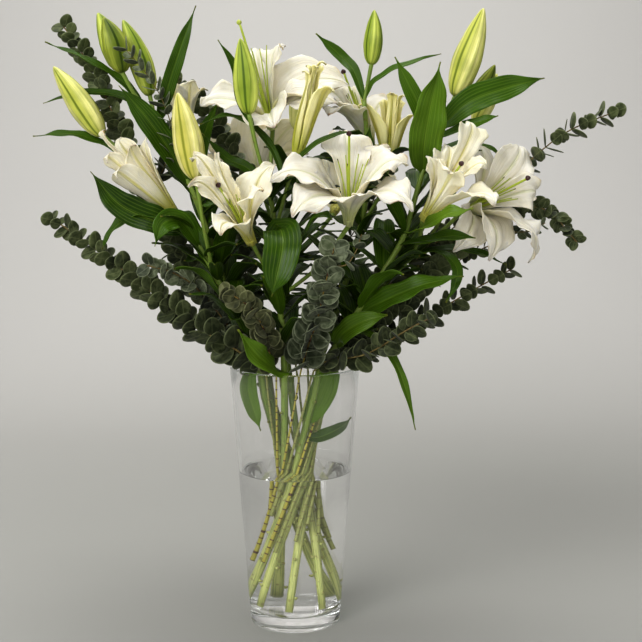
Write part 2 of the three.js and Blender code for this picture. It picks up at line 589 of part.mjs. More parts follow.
// Blooms, then the filaments and pistil inside each
const cup = { height: 5, footRadius: 3.2, topRadius: 5.8, sides: 6 };
for (const [name, base, direction, , petals, reach] of blooms) {
  const axis = vector(direction).normalize();
  const foot = vector(base).addScaledVector(axis, -seatDepth);
  const top = vector(base).addScaledVector(axis, cup.height);
  addBit(name, place(name, bar([foot, top], cup.footRadius, cup.topRadius, cup.sides)));
  for (const [tip, width, curl] of petals) {
    addBit(name, settle(name, (bend) => petal(base, axis, tip, width, curl, reach === 0, bend)));
  }
}
const heart = { knobRadius: 2.6, knobHeight: 3 };
const filament = { count: 6, ring: 1.9, radius: 0.8, share: 0.72, lean: 0.24 };
const pistil = { footRadius: 1, tipRadius: 1.9, lean: 0.06 };
for (const [name, base, direction, , , reach] of blooms) {
  if (reach === 0) continue;
  const node = `${name}_stamens`;
  const axis = vector(direction).normalize();
  const across = axis.clone().cross(new THREE.Vector3(0.2, 0.4, 1)).normalize();
  const root = vector(base).addScaledVector(axis, cup.height + clearance);
  const knobTop = root.clone().addScaledVector(axis, heart.knobHeight);
  addBit(node, place(node, bar([root, knobTop], heart.knobRadius, heart.knobRadius, 6)));
  for (let k = 0; k <= filament.count; k += 1) {
    const isPistil = k === filament.count;
    const out = across.clone().applyAxisAngle(axis, (2 * Math.PI * k) / filament.count + 0.35);
    const side = axis.clone().cross(out);
    const length = isPistil ? reach : reach * filament.share;
    const lean = isPistil ? pistil.lean : filament.lean;
    const radii = isPistil ? [pistil.footRadius, pistil.tipRadius] : [filament.radius, filament.radius];
    const steps = isPistil ? 2 : 1;
    addBit(node, settle(node, (bend) => {
      const start = root.clone().addScaledVector(axis, heart.knobHeight * 0.66)
        .addScaledVector(out, isPistil ? 0 : filament.ring);
      const middle = root.clone().addScaledVector(axis, length * 0.5)
        .addScaledVector(out, filament.ring + length * lean * 0.2);
      const end = root.clone().addScaledVector(axis, length)
        .addScaledVector(out, length * (lean - bend[0] * 0.06))
        .addScaledVector(side, length * bend[1] * 0.05);
      return bar(new THREE.QuadraticBezierCurve3(start, middle, end).getPoints(steps), ...radii, 3);
    }));
  }
}

// Leaves of the lily stems, those in view first
for (const [node, points, width, facing] of leaves) {
  addBit(node, settle(node, (bend) => leaf(points, width, vector(facing), bend)));
}
const goldenAngle = degrees(137.5);
const filler = { length: 78, longer: 34, width: 17, wider: 9, rise: 0.75, steeper: 0.35, seed: 11 };
const fillerLine = [[0, 0], [0.24, 0.3], [0.54, 0.55], [0.8, 0.58]];
for (const [node, count, lowest, highest] of leafRounds) {
  const stem = stems.find(([name]) => name === node);
  const neck = bundlePoint(stem[1], bundle.neckZ, bundle);
  const curve = new THREE.CatmullRomCurve3([neck, ...stem[2].map(vector)]);
  const line = curve.getPoints(60);
  const random = numbersFrom(stem[1] + filler.seed);
  for (let k = 0; k < count; k += 1) {
    const height = THREE.MathUtils.lerp(lowest, highest, (k + 0.5) / count);
    const distance = (point) => Math.abs(point.z - height);
    const start = line.reduce((best, point) => (distance(point) < distance(best) ? point : best));
    const turn = goldenAngle * k + degrees(stem[1]);
    const length = filler.length + filler.longer * random();
    const out = new THREE.Vector3(Math.cos(turn), Math.sin(turn), 0);
    const rise = filler.rise + filler.steeper * random();
    const points = fillerLine.map(([far, high]) => start.clone().addScaledVector(out, far * length)
      .add(new THREE.Vector3(0, 0, high * rise * length)).toArray());
    const width = filler.width + filler.wider * random();
    const facing = new THREE.Vector3(-out.x * 0.4, -out.y * 0.4, 1);
    addBit(node, settle(node, (bend) => leaf(points, width, facing, bend)));
  }
}

// Eucalyptus: a square twig with opposite pairs of round leaves, each pair across the one before
const leafFoot = 1.2;
const lastPairAt = 0.985;
const bareStep = 60;
const roundLean = 0.6;
const leanStep = 0.22;
const turnStep = 0.25;
const roundRim = [[0.45, 0.95], [0.95, 0.55], [0.95, -0.55], [0.45, -0.95]];
for (const [name, neckAngle, footZ, points, firstLength, lastLength, spacing, startShare] of sprays) {
  const [foot, ...line] = twigLines.get(name);
  const curve = new THREE.CatmullRomCurve3(line);
  const length = curve.getLength();
  const count = Math.floor((length * (1 - startShare)) / spacing);
  const stations = [{ point: foot, along: line[0].clone().sub(foot).normalize() }];
  const bareSteps = Math.max(1, Math.round((length * startShare) / bareStep));
  for (let step = 0; step < bareSteps; step += 1) {
    const share = (startShare * step) / bareSteps;
    stations.push({ point: curve.getPointAt(share), along: curve.getTangentAt(share) });
  }
  for (let pair = 0; pair <= count; pair += 1) {
    const share = startShare + (1 - startShare) * (pair / count) * lastPairAt;
    const along = curve.getTangentAt(share);
    const point = curve.getPointAt(share);
    stations.push({ point: point.clone().addScaledVector(along, -leafFoot), along, pair });
    stations.push({ point: point.clone().addScaledVector(along, leafFoot), along });
  }
  addBit(name, spray(name, stations, (pair) => THREE.MathUtils.lerp(firstLength, lastLength, pair / count)));
}

// The twig's rings, with a leaf drawn out of two opposite faces at each pair
function spray(name, stations, leafLength) {
  const points = [];
  const triangles = [];
  const frames = stations.map(({ point, along }, i) => {
    const side = along.clone().cross(crossways).normalize();
    const other = side.clone().cross(along);
    const radius = THREE.MathUtils.lerp(twigBundle.radius, twigTipRadius, i / (stations.length - 1));
    for (let k = 0; k < 4; k += 1) {
      const turn = Math.PI / 4 + (Math.PI * k) / 2;
      points.push(point.clone().addScaledVector(side, radius * Math.cos(turn))
        .addScaledVector(other, radius * Math.sin(turn)));
    }
    return { side, other };
  });
  for (let i = 0; i < stations.length - 1; i += 1) {
    const { pair, along } = stations[i];
    for (let k = 0; k < 4; k += 1) {
      const a = i * 4 + k;
      const b = i * 4 + ((k + 1) % 4);
      const quad = [a, b, b + 4, a + 4];
      const bearsLeaf = pair !== undefined && k % 2 === pair % 2;
      const corners = quad.map((index) => points[index]);
      const rim = bearsLeaf ? settleLeaf(name, corners, along, leafLength(pair)) : null;
      if (rim) {
        const first = points.length;
        points.push(...rim);
        triangles.push(...leafFaces(quad, first));
      } else {
        triangles.push([a, b, b + 4], [a, b + 4, a + 4]);
      }
    }
  }
  const last = (stations.length - 1) * 4;
  triangles.push([0, 2, 1], [0, 3, 2], [last, last + 1, last + 2], [last, last + 2, last + 3]);
  return solidOf(points, triangles);
}

// Upper and lower face of a leaf that grows out of four points of the twig
function leafFaces([a, b, c, d], first) {
  const [right, rightEnd, leftEnd, left] = [first, first + 1, first + 2, first + 3];
  return [[a, b, right], [a, right, rightEnd], [a, rightEnd, leftEnd], [a, leftEnd, left],
    [d, left, leftEnd], [d, leftEnd, rightEnd], [d, rightEnd, right], [d, right, c],
    [b, c, right], [d, a, left]];
}

// The rim of a leaf, turned or leaned no more than it must be to pass its neighbours
function settleLeaf(name, corners, along, length) {
  const [a, b, c, d] = corners;
  const root = a.clone().add(b).add(c).add(d).multiplyScalar(0.25);
  const side = b.clone().sub(a).normalize();
  const outward = along.clone().cross(side).normalize();
  let rim = null;
  const leafSolid = (bend) => {
    const lean = roundLean + bend[0] * leanStep;
    const spine = outward.clone().multiplyScalar(Math.cos(lean)).addScaledVector(along, Math.sin(lean))
      .addScaledVector(side, bend[1] * turnStep).normalize();
    rim = roundRim.map(([far, wide]) => root.clone()
      .addScaledVector(spine, far * length).addScaledVector(side, (wide * length) / 2));
    return solidOf([...corners, ...rim], [...leafFaces([0, 1, 2, 3], 4), [0, 2, 1], [0, 3, 2]]);
  };
  return settle(name, leafSolid) ? rim : null;
}

const colours = new Map([
  ...blooms.map(([name, , , colour]) => [name, colour]),
  ...buds.map(([name, , , , colour]) => [name, colour]),
]);
const colourOf = (name) => {
  if (colours.has(name)) return colours.get(name);
  if (name.endsWith('_stamens')) return filamentGreen;
  return name.startsWith('eucalyptus') ? eucalyptusGreen : stemGreen;
};

const glass = meshOf('vase', placed[0].solid, 0xe8eeec, 0.05);
glass.material.transparent = true;
glass.material.opacity = 0.35;
const waterMesh = meshOf('water', water, 0xe6efec, 0.02);
waterMesh.material.transparent = true;
waterMesh.material.opacity = 0.4;
group.add(glass, waterMesh);
for (const [name, list] of bits) {
  group.add(meshOf(name, fuse(list), colourOf(name), 0.55));
}

export default group;
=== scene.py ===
# White lilies and eucalyptus in a flared glass vase.
# Places are in millimetres until a mesh is written in metres. The big open bloom looks towards -Y.

import json
import math
import random

import bpy
from mathutils import Matrix, Vector
from mathutils.bvhtree import BVHTree
from mathutils.kdtree import KDTree

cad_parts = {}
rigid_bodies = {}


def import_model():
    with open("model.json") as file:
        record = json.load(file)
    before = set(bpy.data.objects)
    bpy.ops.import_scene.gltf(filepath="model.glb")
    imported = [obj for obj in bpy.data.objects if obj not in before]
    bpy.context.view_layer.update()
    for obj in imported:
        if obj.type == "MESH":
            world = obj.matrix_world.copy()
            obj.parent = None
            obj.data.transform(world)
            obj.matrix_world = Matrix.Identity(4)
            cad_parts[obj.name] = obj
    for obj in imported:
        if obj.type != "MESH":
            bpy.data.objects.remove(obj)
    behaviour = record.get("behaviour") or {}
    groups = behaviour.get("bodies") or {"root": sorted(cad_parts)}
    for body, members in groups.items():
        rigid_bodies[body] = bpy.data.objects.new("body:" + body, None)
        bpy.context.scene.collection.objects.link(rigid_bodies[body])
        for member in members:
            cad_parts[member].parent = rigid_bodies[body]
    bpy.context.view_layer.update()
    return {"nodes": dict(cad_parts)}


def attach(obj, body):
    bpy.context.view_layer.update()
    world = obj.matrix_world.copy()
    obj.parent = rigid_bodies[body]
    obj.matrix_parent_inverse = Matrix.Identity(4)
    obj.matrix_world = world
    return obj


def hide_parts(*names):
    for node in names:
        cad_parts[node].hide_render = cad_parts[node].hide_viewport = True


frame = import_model()
bpy.ops.object.select_all(action="DESELECT")
for spare in [one for one in bpy.data.objects if one.name in ("Cube", "Light", "Camera")]:
    bpy.data.objects.remove(spare)
print("frame loaded")

mm = 0.001


# Camera, backdrop and lights

view = {"place": (0.030, -1.429, 0.531), "tiltDown": 7.2, "focalPixels": 1266, "imagePixels": 642}
bpy.ops.object.camera_add(location=view["place"], rotation=(math.radians(90 - view["tiltDown"]), 0, 0))
camera = bpy.context.object
camera.data.sensor_width = 36
camera.data.lens = 36 * view["focalPixels"] / view["imagePixels"]
bpy.context.scene.camera = camera


def linear(code):
    # sRGB hex to the linear values that Blender works in
    channels = [int(code[i:i + 2], 16) / 255 for i in (1, 3, 5)]
    return tuple(c / 12.92 if c <= 0.04045 else ((c + 0.055) / 1.055) ** 2.4 for c in channels) + (1.0,)


def addNode(material, kind, settings=None, sockets=None):
    # a node with its settings, and each socket set to a value or linked to another node's output
    node = material.node_tree.nodes.new(kind)
    for name, value in (settings or {}).items():
        setattr(node, name, value)
    for name, value in (sockets or {}).items():
        if isinstance(value, bpy.types.NodeSocket):
            material.node_tree.links.new(value, node.inputs[name])
        else:
            node.inputs[name].default_value = value
    return node


def emptyMaterial(name):
    material = bpy.data.materials.new(name)
    material.use_nodes = True
    material.node_tree.nodes.clear()
    return material


def coverOf(material, masks):
    # how thick a layer lies: its masks multiplied. A mask is a number, a node's output or a soft step,
    # which is an output, where the step starts and ends, and its values before and after
    cover = None
    for mask in masks:
        if isinstance(mask, tuple):
            source, start, end, before, after = mask
            step = addNode(material, "ShaderNodeMapRange", {"interpolation_type": "SMOOTHSTEP"},
                           {"Value": source, "From Min": start, "From Max": end,
                            "To Min": before, "To Max": after})
            mask = step.outputs[0]
        if cover is None:
            cover = mask
        else:
            cover = addNode(material, "ShaderNodeMath", {"operation": "MULTIPLY"},
                            {0: cover, 1: mask}).outputs[0]
    return cover


def painted(material, base, layers):
    # a base colour with others laid over it in turn, each through its masks
    colour = linear(base)
    for over, *masks in layers:
        colour = addNode(material, "ShaderNodeMix", {"data_type": "RGBA"},
                         {0: coverOf(material, masks), 6: colour, 7: linear(over)}).outputs[2]
    return colour


def cloudOf(material, size, detail=2.0, distortion=0.0):
    # soft patches of a real size in millimetres
    place = addNode(material, "ShaderNodeTexCoord")
    cloud = addNode(material, "ShaderNodeTexNoise", {},
                    {"Vector": place.outputs["Object"], "Scale": 1000 / size, "Detail": detail,
                     "Distortion": distortion})
    return cloud.outputs["Fac"]


def showSurface(material, shader):
    addNode(material, "ShaderNodeOutputMaterial", {}, {"Surface": shader.outputs[0]})
    return material


# floor: painted shade, darker than the wall; shade: a painted soft shadow of the bouquet, darkest near the
# vase
backdrop = {"width": 6.0, "front": -2.6, "back": 0.95, "bend": 1.25, "steps": 24, "height": 3.4,
            "wall": "#C3C1BD", "floor": "#B0AFAA", "wallFrom": 0.1, "wallAt": 1.9,
            "cloud": "#B7B5B0", "cloudScale": 1.4, "cloudShare": 0.12,
            "shade": "#82827C", "paintedShadowAt": (0.17, 0.5, 0), "paintedShadowReach": 1.35, "paintedShadowShare": 0.5}


def paintedPaper():
    # seamless background paper: matt, with the faint cloudiness of a hand-painted sheet.
    #     # Its floor is painted darker than its wall as painted shade, and a painted soft shadow of the
    #     bouquet lies round the vase
    material = emptyMaterial("background paper")
    place = addNode(material, "ShaderNodeTexCoord").outputs["Object"]
    far = addNode(material, "ShaderNodeSeparateXYZ", {}, {"Vector": place}).outputs[1]
    cloud = addNode(material, "ShaderNodeTexNoise", {},
                    {"Vector": place, "Scale": backdrop["cloudScale"], "Detail": 2.0}).outputs["Fac"]
    fromPaintedShadow = addNode(material, "ShaderNodeVectorMath", {"operation": "DISTANCE"},
                   {0: place, 1: backdrop["paintedShadowAt"]}).outputs["Value"]
    # painted shade on the floor, the paper's cloudiness, then the painted shadow of the bouquet
    tone = painted(material, backdrop["floor"], [
        (backdrop["wall"], (far, backdrop["wallFrom"], backdrop["wallAt"], 0, 1)),
        (backdrop["cloud"], cloud, backdrop["cloudShare"]),
        (backdrop["shade"], (fromPaintedShadow, 0, backdrop["paintedShadowReach"], backdrop["paintedShadowShare"], 0)),
    ])
    shader = addNode(material, "ShaderNodeBsdfPrincipled", {},
                     {"Base Color": tone, "Roughness": 0.8, "Specular IOR Level": 0.2})
    return showSurface(material, shader)


def makeBackdrop():
    depth = backdrop["back"] - backdrop["front"]
    bpy.ops.mesh.primitive_plane_add(size=1, location=(0, 0, 0))
    sheet = bpy.context.object
    sheet.name = "backdrop"
    for vertex in sheet.data.vertices:
        vertex.co.x *= backdrop["width"]
        vertex.co.y = backdrop["front"] + (vertex.co.y + 0.5) * depth
    bpy.ops.object.mode_set(mode="EDIT")
    bpy.ops.mesh.select_mode(type="EDGE")
    bpy.ops.mesh.select_all(action="DESELECT")
    bpy.ops.object.mode_set(mode="OBJECT")
    for edge in sheet.data.edges:
        edge.select = all(sheet.data.vertices[i].co.y > backdrop["back"] - 0.01 for i in edge.vertices)
    bpy.ops.object.mode_set(mode="EDIT")
    # the back edge is drawn up round the bend, and then straight
    turn = math.pi / 2 / backdrop["steps"]
    for step in range(backdrop["steps"]):
        back = backdrop["bend"] * (math.sin((step + 1) * turn) - math.sin(step * turn))
        up = backdrop["bend"] * (math.cos(step * turn) - math.cos((step + 1) * turn))
        bpy.ops.mesh.extrude_region_move(TRANSFORM_OT_translate={"value": (0, back, up)})
    bpy.ops.mesh.extrude_region_move(TRANSFORM_OT_translate={"value": (0, 0, backdrop["height"])})
    bpy.ops.object.mode_set(mode="OBJECT")
    bpy.ops.object.shade_smooth()
    sheet.data.materials.append(paintedPaper())


makeBackdrop()

lamps = [
    # name, place, what it looks at, size, watts
    ("window", (-1.3, -1.6, 1.9), (0, 0, 0.4), 1.2, 40),
    ("overhead", (0.2, 0.1, 2.2), (0, 0, 0.4), 1.1, 14),
    ("fill", (1.6, -1.5, 1.1), (0, 0, 0.4), 1.4, 9),
    ("front", (-0.5, -2.5, 0.6), (0, 0, 0.4), 2.0, 28),
    ("wall", (0, 0.7, 2.0), (0, 2.1, 0.5), 1.8, 22),
]
for name, place, target, size, watts in lamps:
    aim = (Vector(target) - Vector(place)).to_track_quat("-Z", "Y").to_euler()
    bpy.ops.object.light_add(type="AREA", location=place, rotation=aim)
    lamp = bpy.context.object
    lamp.name = name
    lamp.data.size = size
    lamp.data.energy = watts
    lamp.visible_glossy = name != "front"  # it would veil the front of the glass

# The studio's far end is dark, so little of it shows in gloss and glass.
sky = {"colour": "#F4F6F8", "strength": 0.24, "reflected": 0.05}
photoTone = {"gamma": 0.86, "exposure": 0.12}
world = bpy.data.worlds.new("studio")
world.use_nodes = True
background = world.node_tree.nodes["Background"]
background.inputs["Color"].default_value = linear(sky["colour"])
seenBy = addNode(world, "ShaderNodeLightPath")
level = addNode(world, "ShaderNodeMix", {"data_type": "FLOAT"},
                {0: seenBy.outputs["Is Glossy Ray"], 2: sky["strength"], 3: sky["reflected"]})
world.node_tree.links.new(level.outputs[0], background.inputs["Strength"])
bpy.context.scene.world = world
bpy.context.scene.view_settings.view_transform = "Standard"
bpy.context.scene.view_settings.gamma = photoTone["gamma"]
bpy.context.scene.view_settings.exposure = photoTone["exposure"]
print("camera and lights ready")


# Lines through points

frontward = Vector((0, -1, 0))
crossways = Vector((0.3, 0.9, 0.1)).normalized()  # no stem runs this way


def lineThrough(points):
    # a smooth line through points: "at" gives a place on it, "even" turns a share of its length into
    # the number that "at" takes, and "heading" gives its direction
    knots = [Vector(point) for point in points]
    spans = len(knots) - 1

    def at(t):
        scaled = spans * min(max(t, 0.0), 1.0)
        step = min(int(scaled), spans - 1)
        weight = scaled - step
        b, c = knots[step], knots[step + 1]
        a = knots[step - 1] if step > 0 else 2 * b - c
        d = knots[step + 2] if step + 2 <= spans else 2 * c - b
        ab, bc, cd = ((q - p).length ** 0.5 for p, q in ((a, b), (b, c), (c, d)))
        leave = ((b - a) / ab - (c - a) / (ab + bc) + (c - b) / bc) * bc
        arrive = ((c - b) / bc - (d - b) / (bc + cd) + (d - c) / cd) * bc
        return (b + leave * weight + (-3 * b + 3 * c - 2 * leave - arrive) * weight ** 2
                + (2 * b - 2 * c + leave + arrive) * weight ** 3)

    parts = 200
    marks = [0.0]
    before = at(0)
    for i in range(1, parts + 1):
        point = at(i / parts)
        marks.append(marks[-1] + (point - before).length)
        before = point

    def evenAt(share):
        goal = share * marks[-1]
        i = next((k for k in range(parts) if marks[k + 1] >= goal), parts - 1)
        return (i + (goal - marks[i]) / max(marks[i + 1] - marks[i], 1e-9)) / parts

    def heading(t):
        low, high = max(t - 0.0001, 0), min(t + 0.0001, 1)
        return (at(high) - at(low)).normalized()

    return {"at": at, "even": evenAt, "heading": heading, "length": marks[-1]}


def bundlePoint(neckAngle, height, family):
    # where a straight stem of the twisted bundle is at a height
    lean = math.atan2(family["slope"] * (family["neckZ"] - family["waistZ"]), family["waistRadius"])
    angle = math.radians(neckAngle) - lean
    drift = family["slope"] * (height - family["waistZ"])
    return Vector((family["waistRadius"] * math.cos(angle) - drift * math.sin(angle),
                   family["waistRadius"] * math.sin(angle) + drift * math.cos(angle), height))


# A blade or a tube starts as a plain sheet, which is copied and shaped by moving its points.
# Its "blade" attribute keeps where each point is: across (0.5 is the middle), along, chance and mark.

blanks = []


def blankSheet(name, across, along):
    bpy.ops.mesh.primitive_grid_add(x_subdivisions=across, y_subdivisions=along, size=1, location=(0, 0, 0))
    blank = bpy.context.object
    blank.name = name
    blank.data.color_attributes.new("blade", "FLOAT_COLOR", "POINT")
    blanks.append(blank)
    return blank


def shapedCopy(blank, place, mark):
    # place(across, along) gives a point in millimetres, mark(across, along) four shares for the material
    piece = blank.copy()
    piece.data = blank.data.copy()
    bpy.context.collection.objects.link(piece)
    marks = piece.data.color_attributes["blade"].data
    for i, vertex in enumerate(piece.data.vertices):
        across, along = 2 * vertex.co.x, vertex.co.y + 0.5
        marks[i].color = mark(across, along)
        vertex.co = place(across, along) * mm
    return piece


def joined(name, pieces):
    bpy.ops.object.select_all(action="DESELECT")
    for piece in pieces:
        piece.select_set(True)
    bpy.context.view_layer.objects.active = pieces[0]
    if len(pieces) > 1:
        bpy.ops.object.join()
    pieces[0].name = name
    bpy.ops.object.shade_smooth()
    return pieces[0]


def thickened(piece, thickness):
    bpy.context.view_layer.objects.active = piece
    wall = piece.modifiers.new("thickness", "SOLIDIFY")
    wall.thickness = thickness * mm
    wall.offset = -1
    bpy.ops.object.modifier_apply(modifier=wall.name)
    return piece


def sewnUp(piece):
    # closes the seam and the ends of rolled sheets, and turns their faces outwards
    bpy.ops.object.select_all(action="DESELECT")
    piece.select_set(True)
    bpy.context.view_layer.objects.active = piece
    bpy.ops.object.mode_set(mode="EDIT")
    bpy.ops.mesh.select_all(action="SELECT")
    bpy.ops.mesh.remove_doubles(threshold=0.000002)
    bpy.ops.mesh.normals_make_consistent(inside=False)
    bpy.ops.object.mode_set(mode="OBJECT")
    return piece


def dress(piece, node):
    piece.data.name = piece.name
    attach(piece, "root")
    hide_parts(node)


rolledSheets = {}


def sheetFor(sides, rows):
    # one blank for each size of rolled sheet
    if (sides, rows) not in rolledSheets:
        rolledSheets[(sides, rows)] = blankSheet(f"sheet {sides} {rows}", sides, rows + 1)
    return rolledSheets[(sides, rows)]


def tube(sides, line, radiusAt, chance=0.5, mark=0.0, lobes=None, acrossAt=None):
    # a sheet rolled round a list of points: first and last row close the ends
    rows = len(line)
    headings = [(line[min(i + 1, rows - 1)] - line[max(i - 1, 0)]).normalized() for i in range(rows)]
    side = headings[0].cross(crossways).normalized()
    frames = []
    travelled = [0.0]
    for i in range(rows):
        side = (side - headings[i] * side.dot(headings[i])).normalized()
        frames.append((side.copy(), side.cross(headings[i])))
        if i:
            travelled.append(travelled[-1] + (line[i] - line[i - 1]).length)

    def rowOf(along):
        # the outermost rows are the closed ends
        row = round(along * (rows + 1))
        return min(max(row - 1, 0), rows - 1), 0.0 if row in (0, rows + 1) else 1.0

    def place(across, along):
        i, full = rowOf(along)
        turn = math.pi * across
        radius = radiusAt(i / (rows - 1)) * full * (lobes(turn, i / (rows - 1)) if lobes else 1)
        return line[i] + frames[i][0] * (radius * math.cos(turn)) + frames[i][1] * (radius * math.sin(turn))

    def look(across, along):
        i, full = rowOf(along)
        share = i / (rows - 1)
        around = acrossAt(math.pi * across, share) if acrossAt else (across + 1) / 2
        return around, travelled[i] / 1000, chance, mark(share) if callable(mark) else mark

    return shapedCopy(sheetFor(sides, rows), place, look)


# The solids of the frame say how far each petal and leaf was bent to pass its neighbours.

bends = [(0, 0), (1, 0), (-1, 0), (0, 1), (0, -1), (2, 0), (-2, 0), (1, 1), (-1, 1), (1, -1), (-1, -1),
         (0, 2), (0, -2), (3, 0), (-3, 0), (2, 2), (-2, 2), (2, -2), (-2, -2), (0, 3), (0, -3),
         (4, 0), (-4, 0)]
bendShare = 0.07  # of the blade's length, for each step
bendSlack = 0.8


def cornersOf(node):
    points = frame["nodes"][node].data.vertices
    tree = KDTree(len(points))
    for i, point in enumerate(points):
        tree.insert(point.co / mm, i)
    tree.balance()
    return tree


def foundBend(tree, cornersAt):
    # the bend whose corners lie on the solid, or None where the solid has no such blade
    def miss(bend):
        return max(tree.find(corner)[2] for corner in cornersAt(bend))
    best = min(bends, key=miss)
    return best if miss(best) < bendSlack else None


def smooth(low, high, value):
    share = min(max((value - low) / (high - low), 0.0), 1.0)
    return share * share * (3 - 2 * share)


def mixed(a, b, share):
    return a + (b - a) * share


def bezier(handles, t):
    a, b, c, d = handles
    return a * (1 - t) ** 3 + b * (3 * t * (1 - t) ** 2) + c * (3 * t * t * (1 - t)) + d * t ** 3


# Vase: one lathed glass cone with a thick floor, slightly hollow beneath, inside a flat ring

vaseForm = {"height": 300, "footRadius": 52, "rimRadius": 74, "wall": 3.6, "floor": 16, "floorRound": 8,
            "floorDip": 0.4, "footRound": 3.2, "segments": 160, "creaseAngle": 38,
            "hollow": [(8, 2.4), (26, 2.2), (38, 1.3), (43, 0.3), (44.5, 0)]}
# meniscus: height at the glass, then distance from the glass and share of that height lost
waterForm = {"level": 178, "bite": 0.15, "meniscus": 1.6, "middle": 8,
             "creep": [(0.5, 0.25), (1.2, 0.55), (2.4, 0.85), (4.2, 1.0)]}
# after so many mirrorings or walls, light goes straight on
clearForm = {"waveStrength": 0.1, "mostMirrored": 3.5, "mostWalls": 9.5}


def outerAt(height):
    return mixed(vaseForm["footRadius"], vaseForm["rimRadius"], height / vaseForm["height"])


def lathe(name, profile):
    # a disc drawn up along a profile of (radius, height), row by row
    bpy.ops.object.select_all(action="DESELECT")
    bpy.ops.mesh.primitive_circle_add(vertices=vaseForm["segments"], radius=profile[0][0] * mm,
                                      fill_type="NGON", location=(0, 0, profile[0][1] * mm))
    piece = bpy.context.object
    piece.name = name
    bpy.ops.object.transform_apply(location=True)
    bpy.ops.object.mode_set(mode="EDIT")
    bpy.ops.mesh.select_all(action="SELECT")
    for (before, low), (after, high) in zip(profile, profile[1:]):
        bpy.ops.mesh.extrude_region_move(TRANSFORM_OT_translate={"value": (0, 0, (high - low) * mm)})
        share = after / before
        bpy.ops.transform.resize(value=(share, share, 1), center_override=(0, 0, high * mm))
    bpy.ops.mesh.select_all(action="SELECT")
    bpy.ops.mesh.normals_make_consistent(inside=False)
    bpy.ops.object.mode_set(mode="OBJECT")
    bpy.ops.object.shade_smooth_by_angle(angle=math.radians(vaseForm["creaseAngle"]))
    return piece


def arcPoints(across, up, radius, first, last, steps):
    # round a centre, between two angles in degrees
    turns = [math.radians(mixed(first, last, i / steps)) for i in range(steps + 1)]
    return [(across + radius * math.cos(turn), up + radius * math.sin(turn)) for turn in turns]


def wallPoints(inset, start, end, steps):
    # along the flared wall, without the point at the start
    heights = [mixed(start, end, i / steps) for i in range(1, steps + 1)]
    return [(outerAt(height) - inset, height) for height in heights]


def floorCorner(grow, first, last):
    # the rounded corner between the wall inside and the floor
    height = vaseForm["floor"] + vaseForm["floorRound"]
    across = outerAt(height) - vaseForm["wall"] - vaseForm["floorRound"]
    return arcPoints(across, height, vaseForm["floorRound"] + grow, first, last, 6)


def vaseProfile():
    wall, top, foot = vaseForm["wall"], vaseForm["height"], vaseForm["footRound"]
    rim = wall / 2
    points = vaseForm["hollow"] + [(outerAt(0) - foot, 0)]
    points += arcPoints(outerAt(foot) - foot, foot, foot, -90, 0, 4)[1:]
    points += wallPoints(0, foot, top - rim, 12)[:-1]
    points += arcPoints(outerAt(top) - rim, top - rim, rim, 0, 180, 8)
    points += wallPoints(wall, top - rim, vaseForm["floor"] + vaseForm["floorRound"], 12)[:-1]
    points += floorCorner(0, 0, -90)
    return points + [(points[-1][0] / 2, vaseForm["floor"] - vaseForm["floorDip"])]


def waterProfile():
    # it overlaps the glass by its bite
    wall, bite, level, top = vaseForm["wall"], waterForm["bite"], waterForm["level"], waterForm["meniscus"]
    corner = floorCorner(bite, -90, 0)
    points = [(corner[0][0] / 2, vaseForm["floor"] - vaseForm["floorDip"] - bite)] + corner
    points += wallPoints(wall - bite, vaseForm["floor"] + vaseForm["floorRound"], level + top, 7)
    for back, drop in waterForm["creep"]:
        points.append((outerAt(level) - wall - back, level + top * (1 - drop)))
    return points + [(waterForm["middle"], level)]


def clearOf(name, index, tint, waveLength, waveDepth):
    # a clear body: sharp reflections and faint waves in its skin. Lamps shine through it
    material = emptyMaterial(name)
    bump = addNode(material, "ShaderNodeBump", {},
                   {"Height": cloudOf(material, waveLength, 1.0), "Strength": clearForm["waveStrength"],
                    "Distance": waveDepth})
    body = addNode(material, "ShaderNodeBsdfPrincipled", {},
                   {"Base Color": linear("#FFFFFF"), "Roughness": 0.0, "IOR": index,
                    "Transmission Weight": 1.0, "Specular IOR Level": 0.5, "Normal": bump.outputs["Normal"]})
    straight = addNode(material, "ShaderNodeBsdfTransparent", {}, {"Color": linear(tint)})
    light = addNode(material, "ShaderNodeLightPath")
    isStraight = 0.0
    for output, most in (("Glossy Depth", clearForm["mostMirrored"]), ("Is Shadow Ray", 0.5),
                         ("Transmission Depth", clearForm["mostWalls"]), ("Is Diffuse Ray", 0.5)):
        isOver = addNode(material, "ShaderNodeMath", {"operation": "GREATER_THAN"},
                         {0: light.outputs[output], 1: most})
        isStraight = addNode(material, "ShaderNodeMath", {"operation": "MAXIMUM"},
                             {0: isStraight, 1: isOver.outputs[0]}).outputs[0]
    return showSurface(material, addNode(material, "ShaderNodeMixShader", {},
                                         {0: isStraight, 1: body.outputs[0], 2: straight.outputs[0]}))


def makeVase():
    vase = lathe("glass_vase", vaseProfile())
    # soda-lime glass, blown and polished
    vase.data.materials.append(clearOf("clear blown glass", 1.5, "#FBFCFC", 35, 0.0006))
    dress(vase, "vase")
    water = lathe("vase_water", waterProfile())
    # fresh tap water, still
    water.data.materials.append(clearOf("vase water", 1.333, "#FDFEFD", 25, 0.0004))
    dress(water, "water")


makeVase()
print("vase and water ready")


# Materials of the plants. Every one reads the "blade" attribute: across, along, chance and mark.

def bladeMaterial(name):
    material = emptyMaterial(name)
    attribute = addNode(material, "ShaderNodeAttribute", {"attribute_name": "blade"})
    place = attribute.outputs["Color"]
    parts = addNode(material, "ShaderNodeSeparateColor", {}, {"Color": place})
    fromMiddle = parts.outputs[0]
    for operation, number in (("SUBTRACT", 0.5), ("ABSOLUTE", 0), ("MULTIPLY", 2)):
        fromMiddle = addNode(material, "ShaderNodeMath", {"operation": operation},
                             {0: fromMiddle, 1: number}).outputs[0]
    return material, {"place": place, "across": parts.outputs[0], "along": parts.outputs[1],
                      "chance": parts.outputs[2], "mark": attribute.outputs["Alpha"],
                      "fromMiddle": fromMiddle}


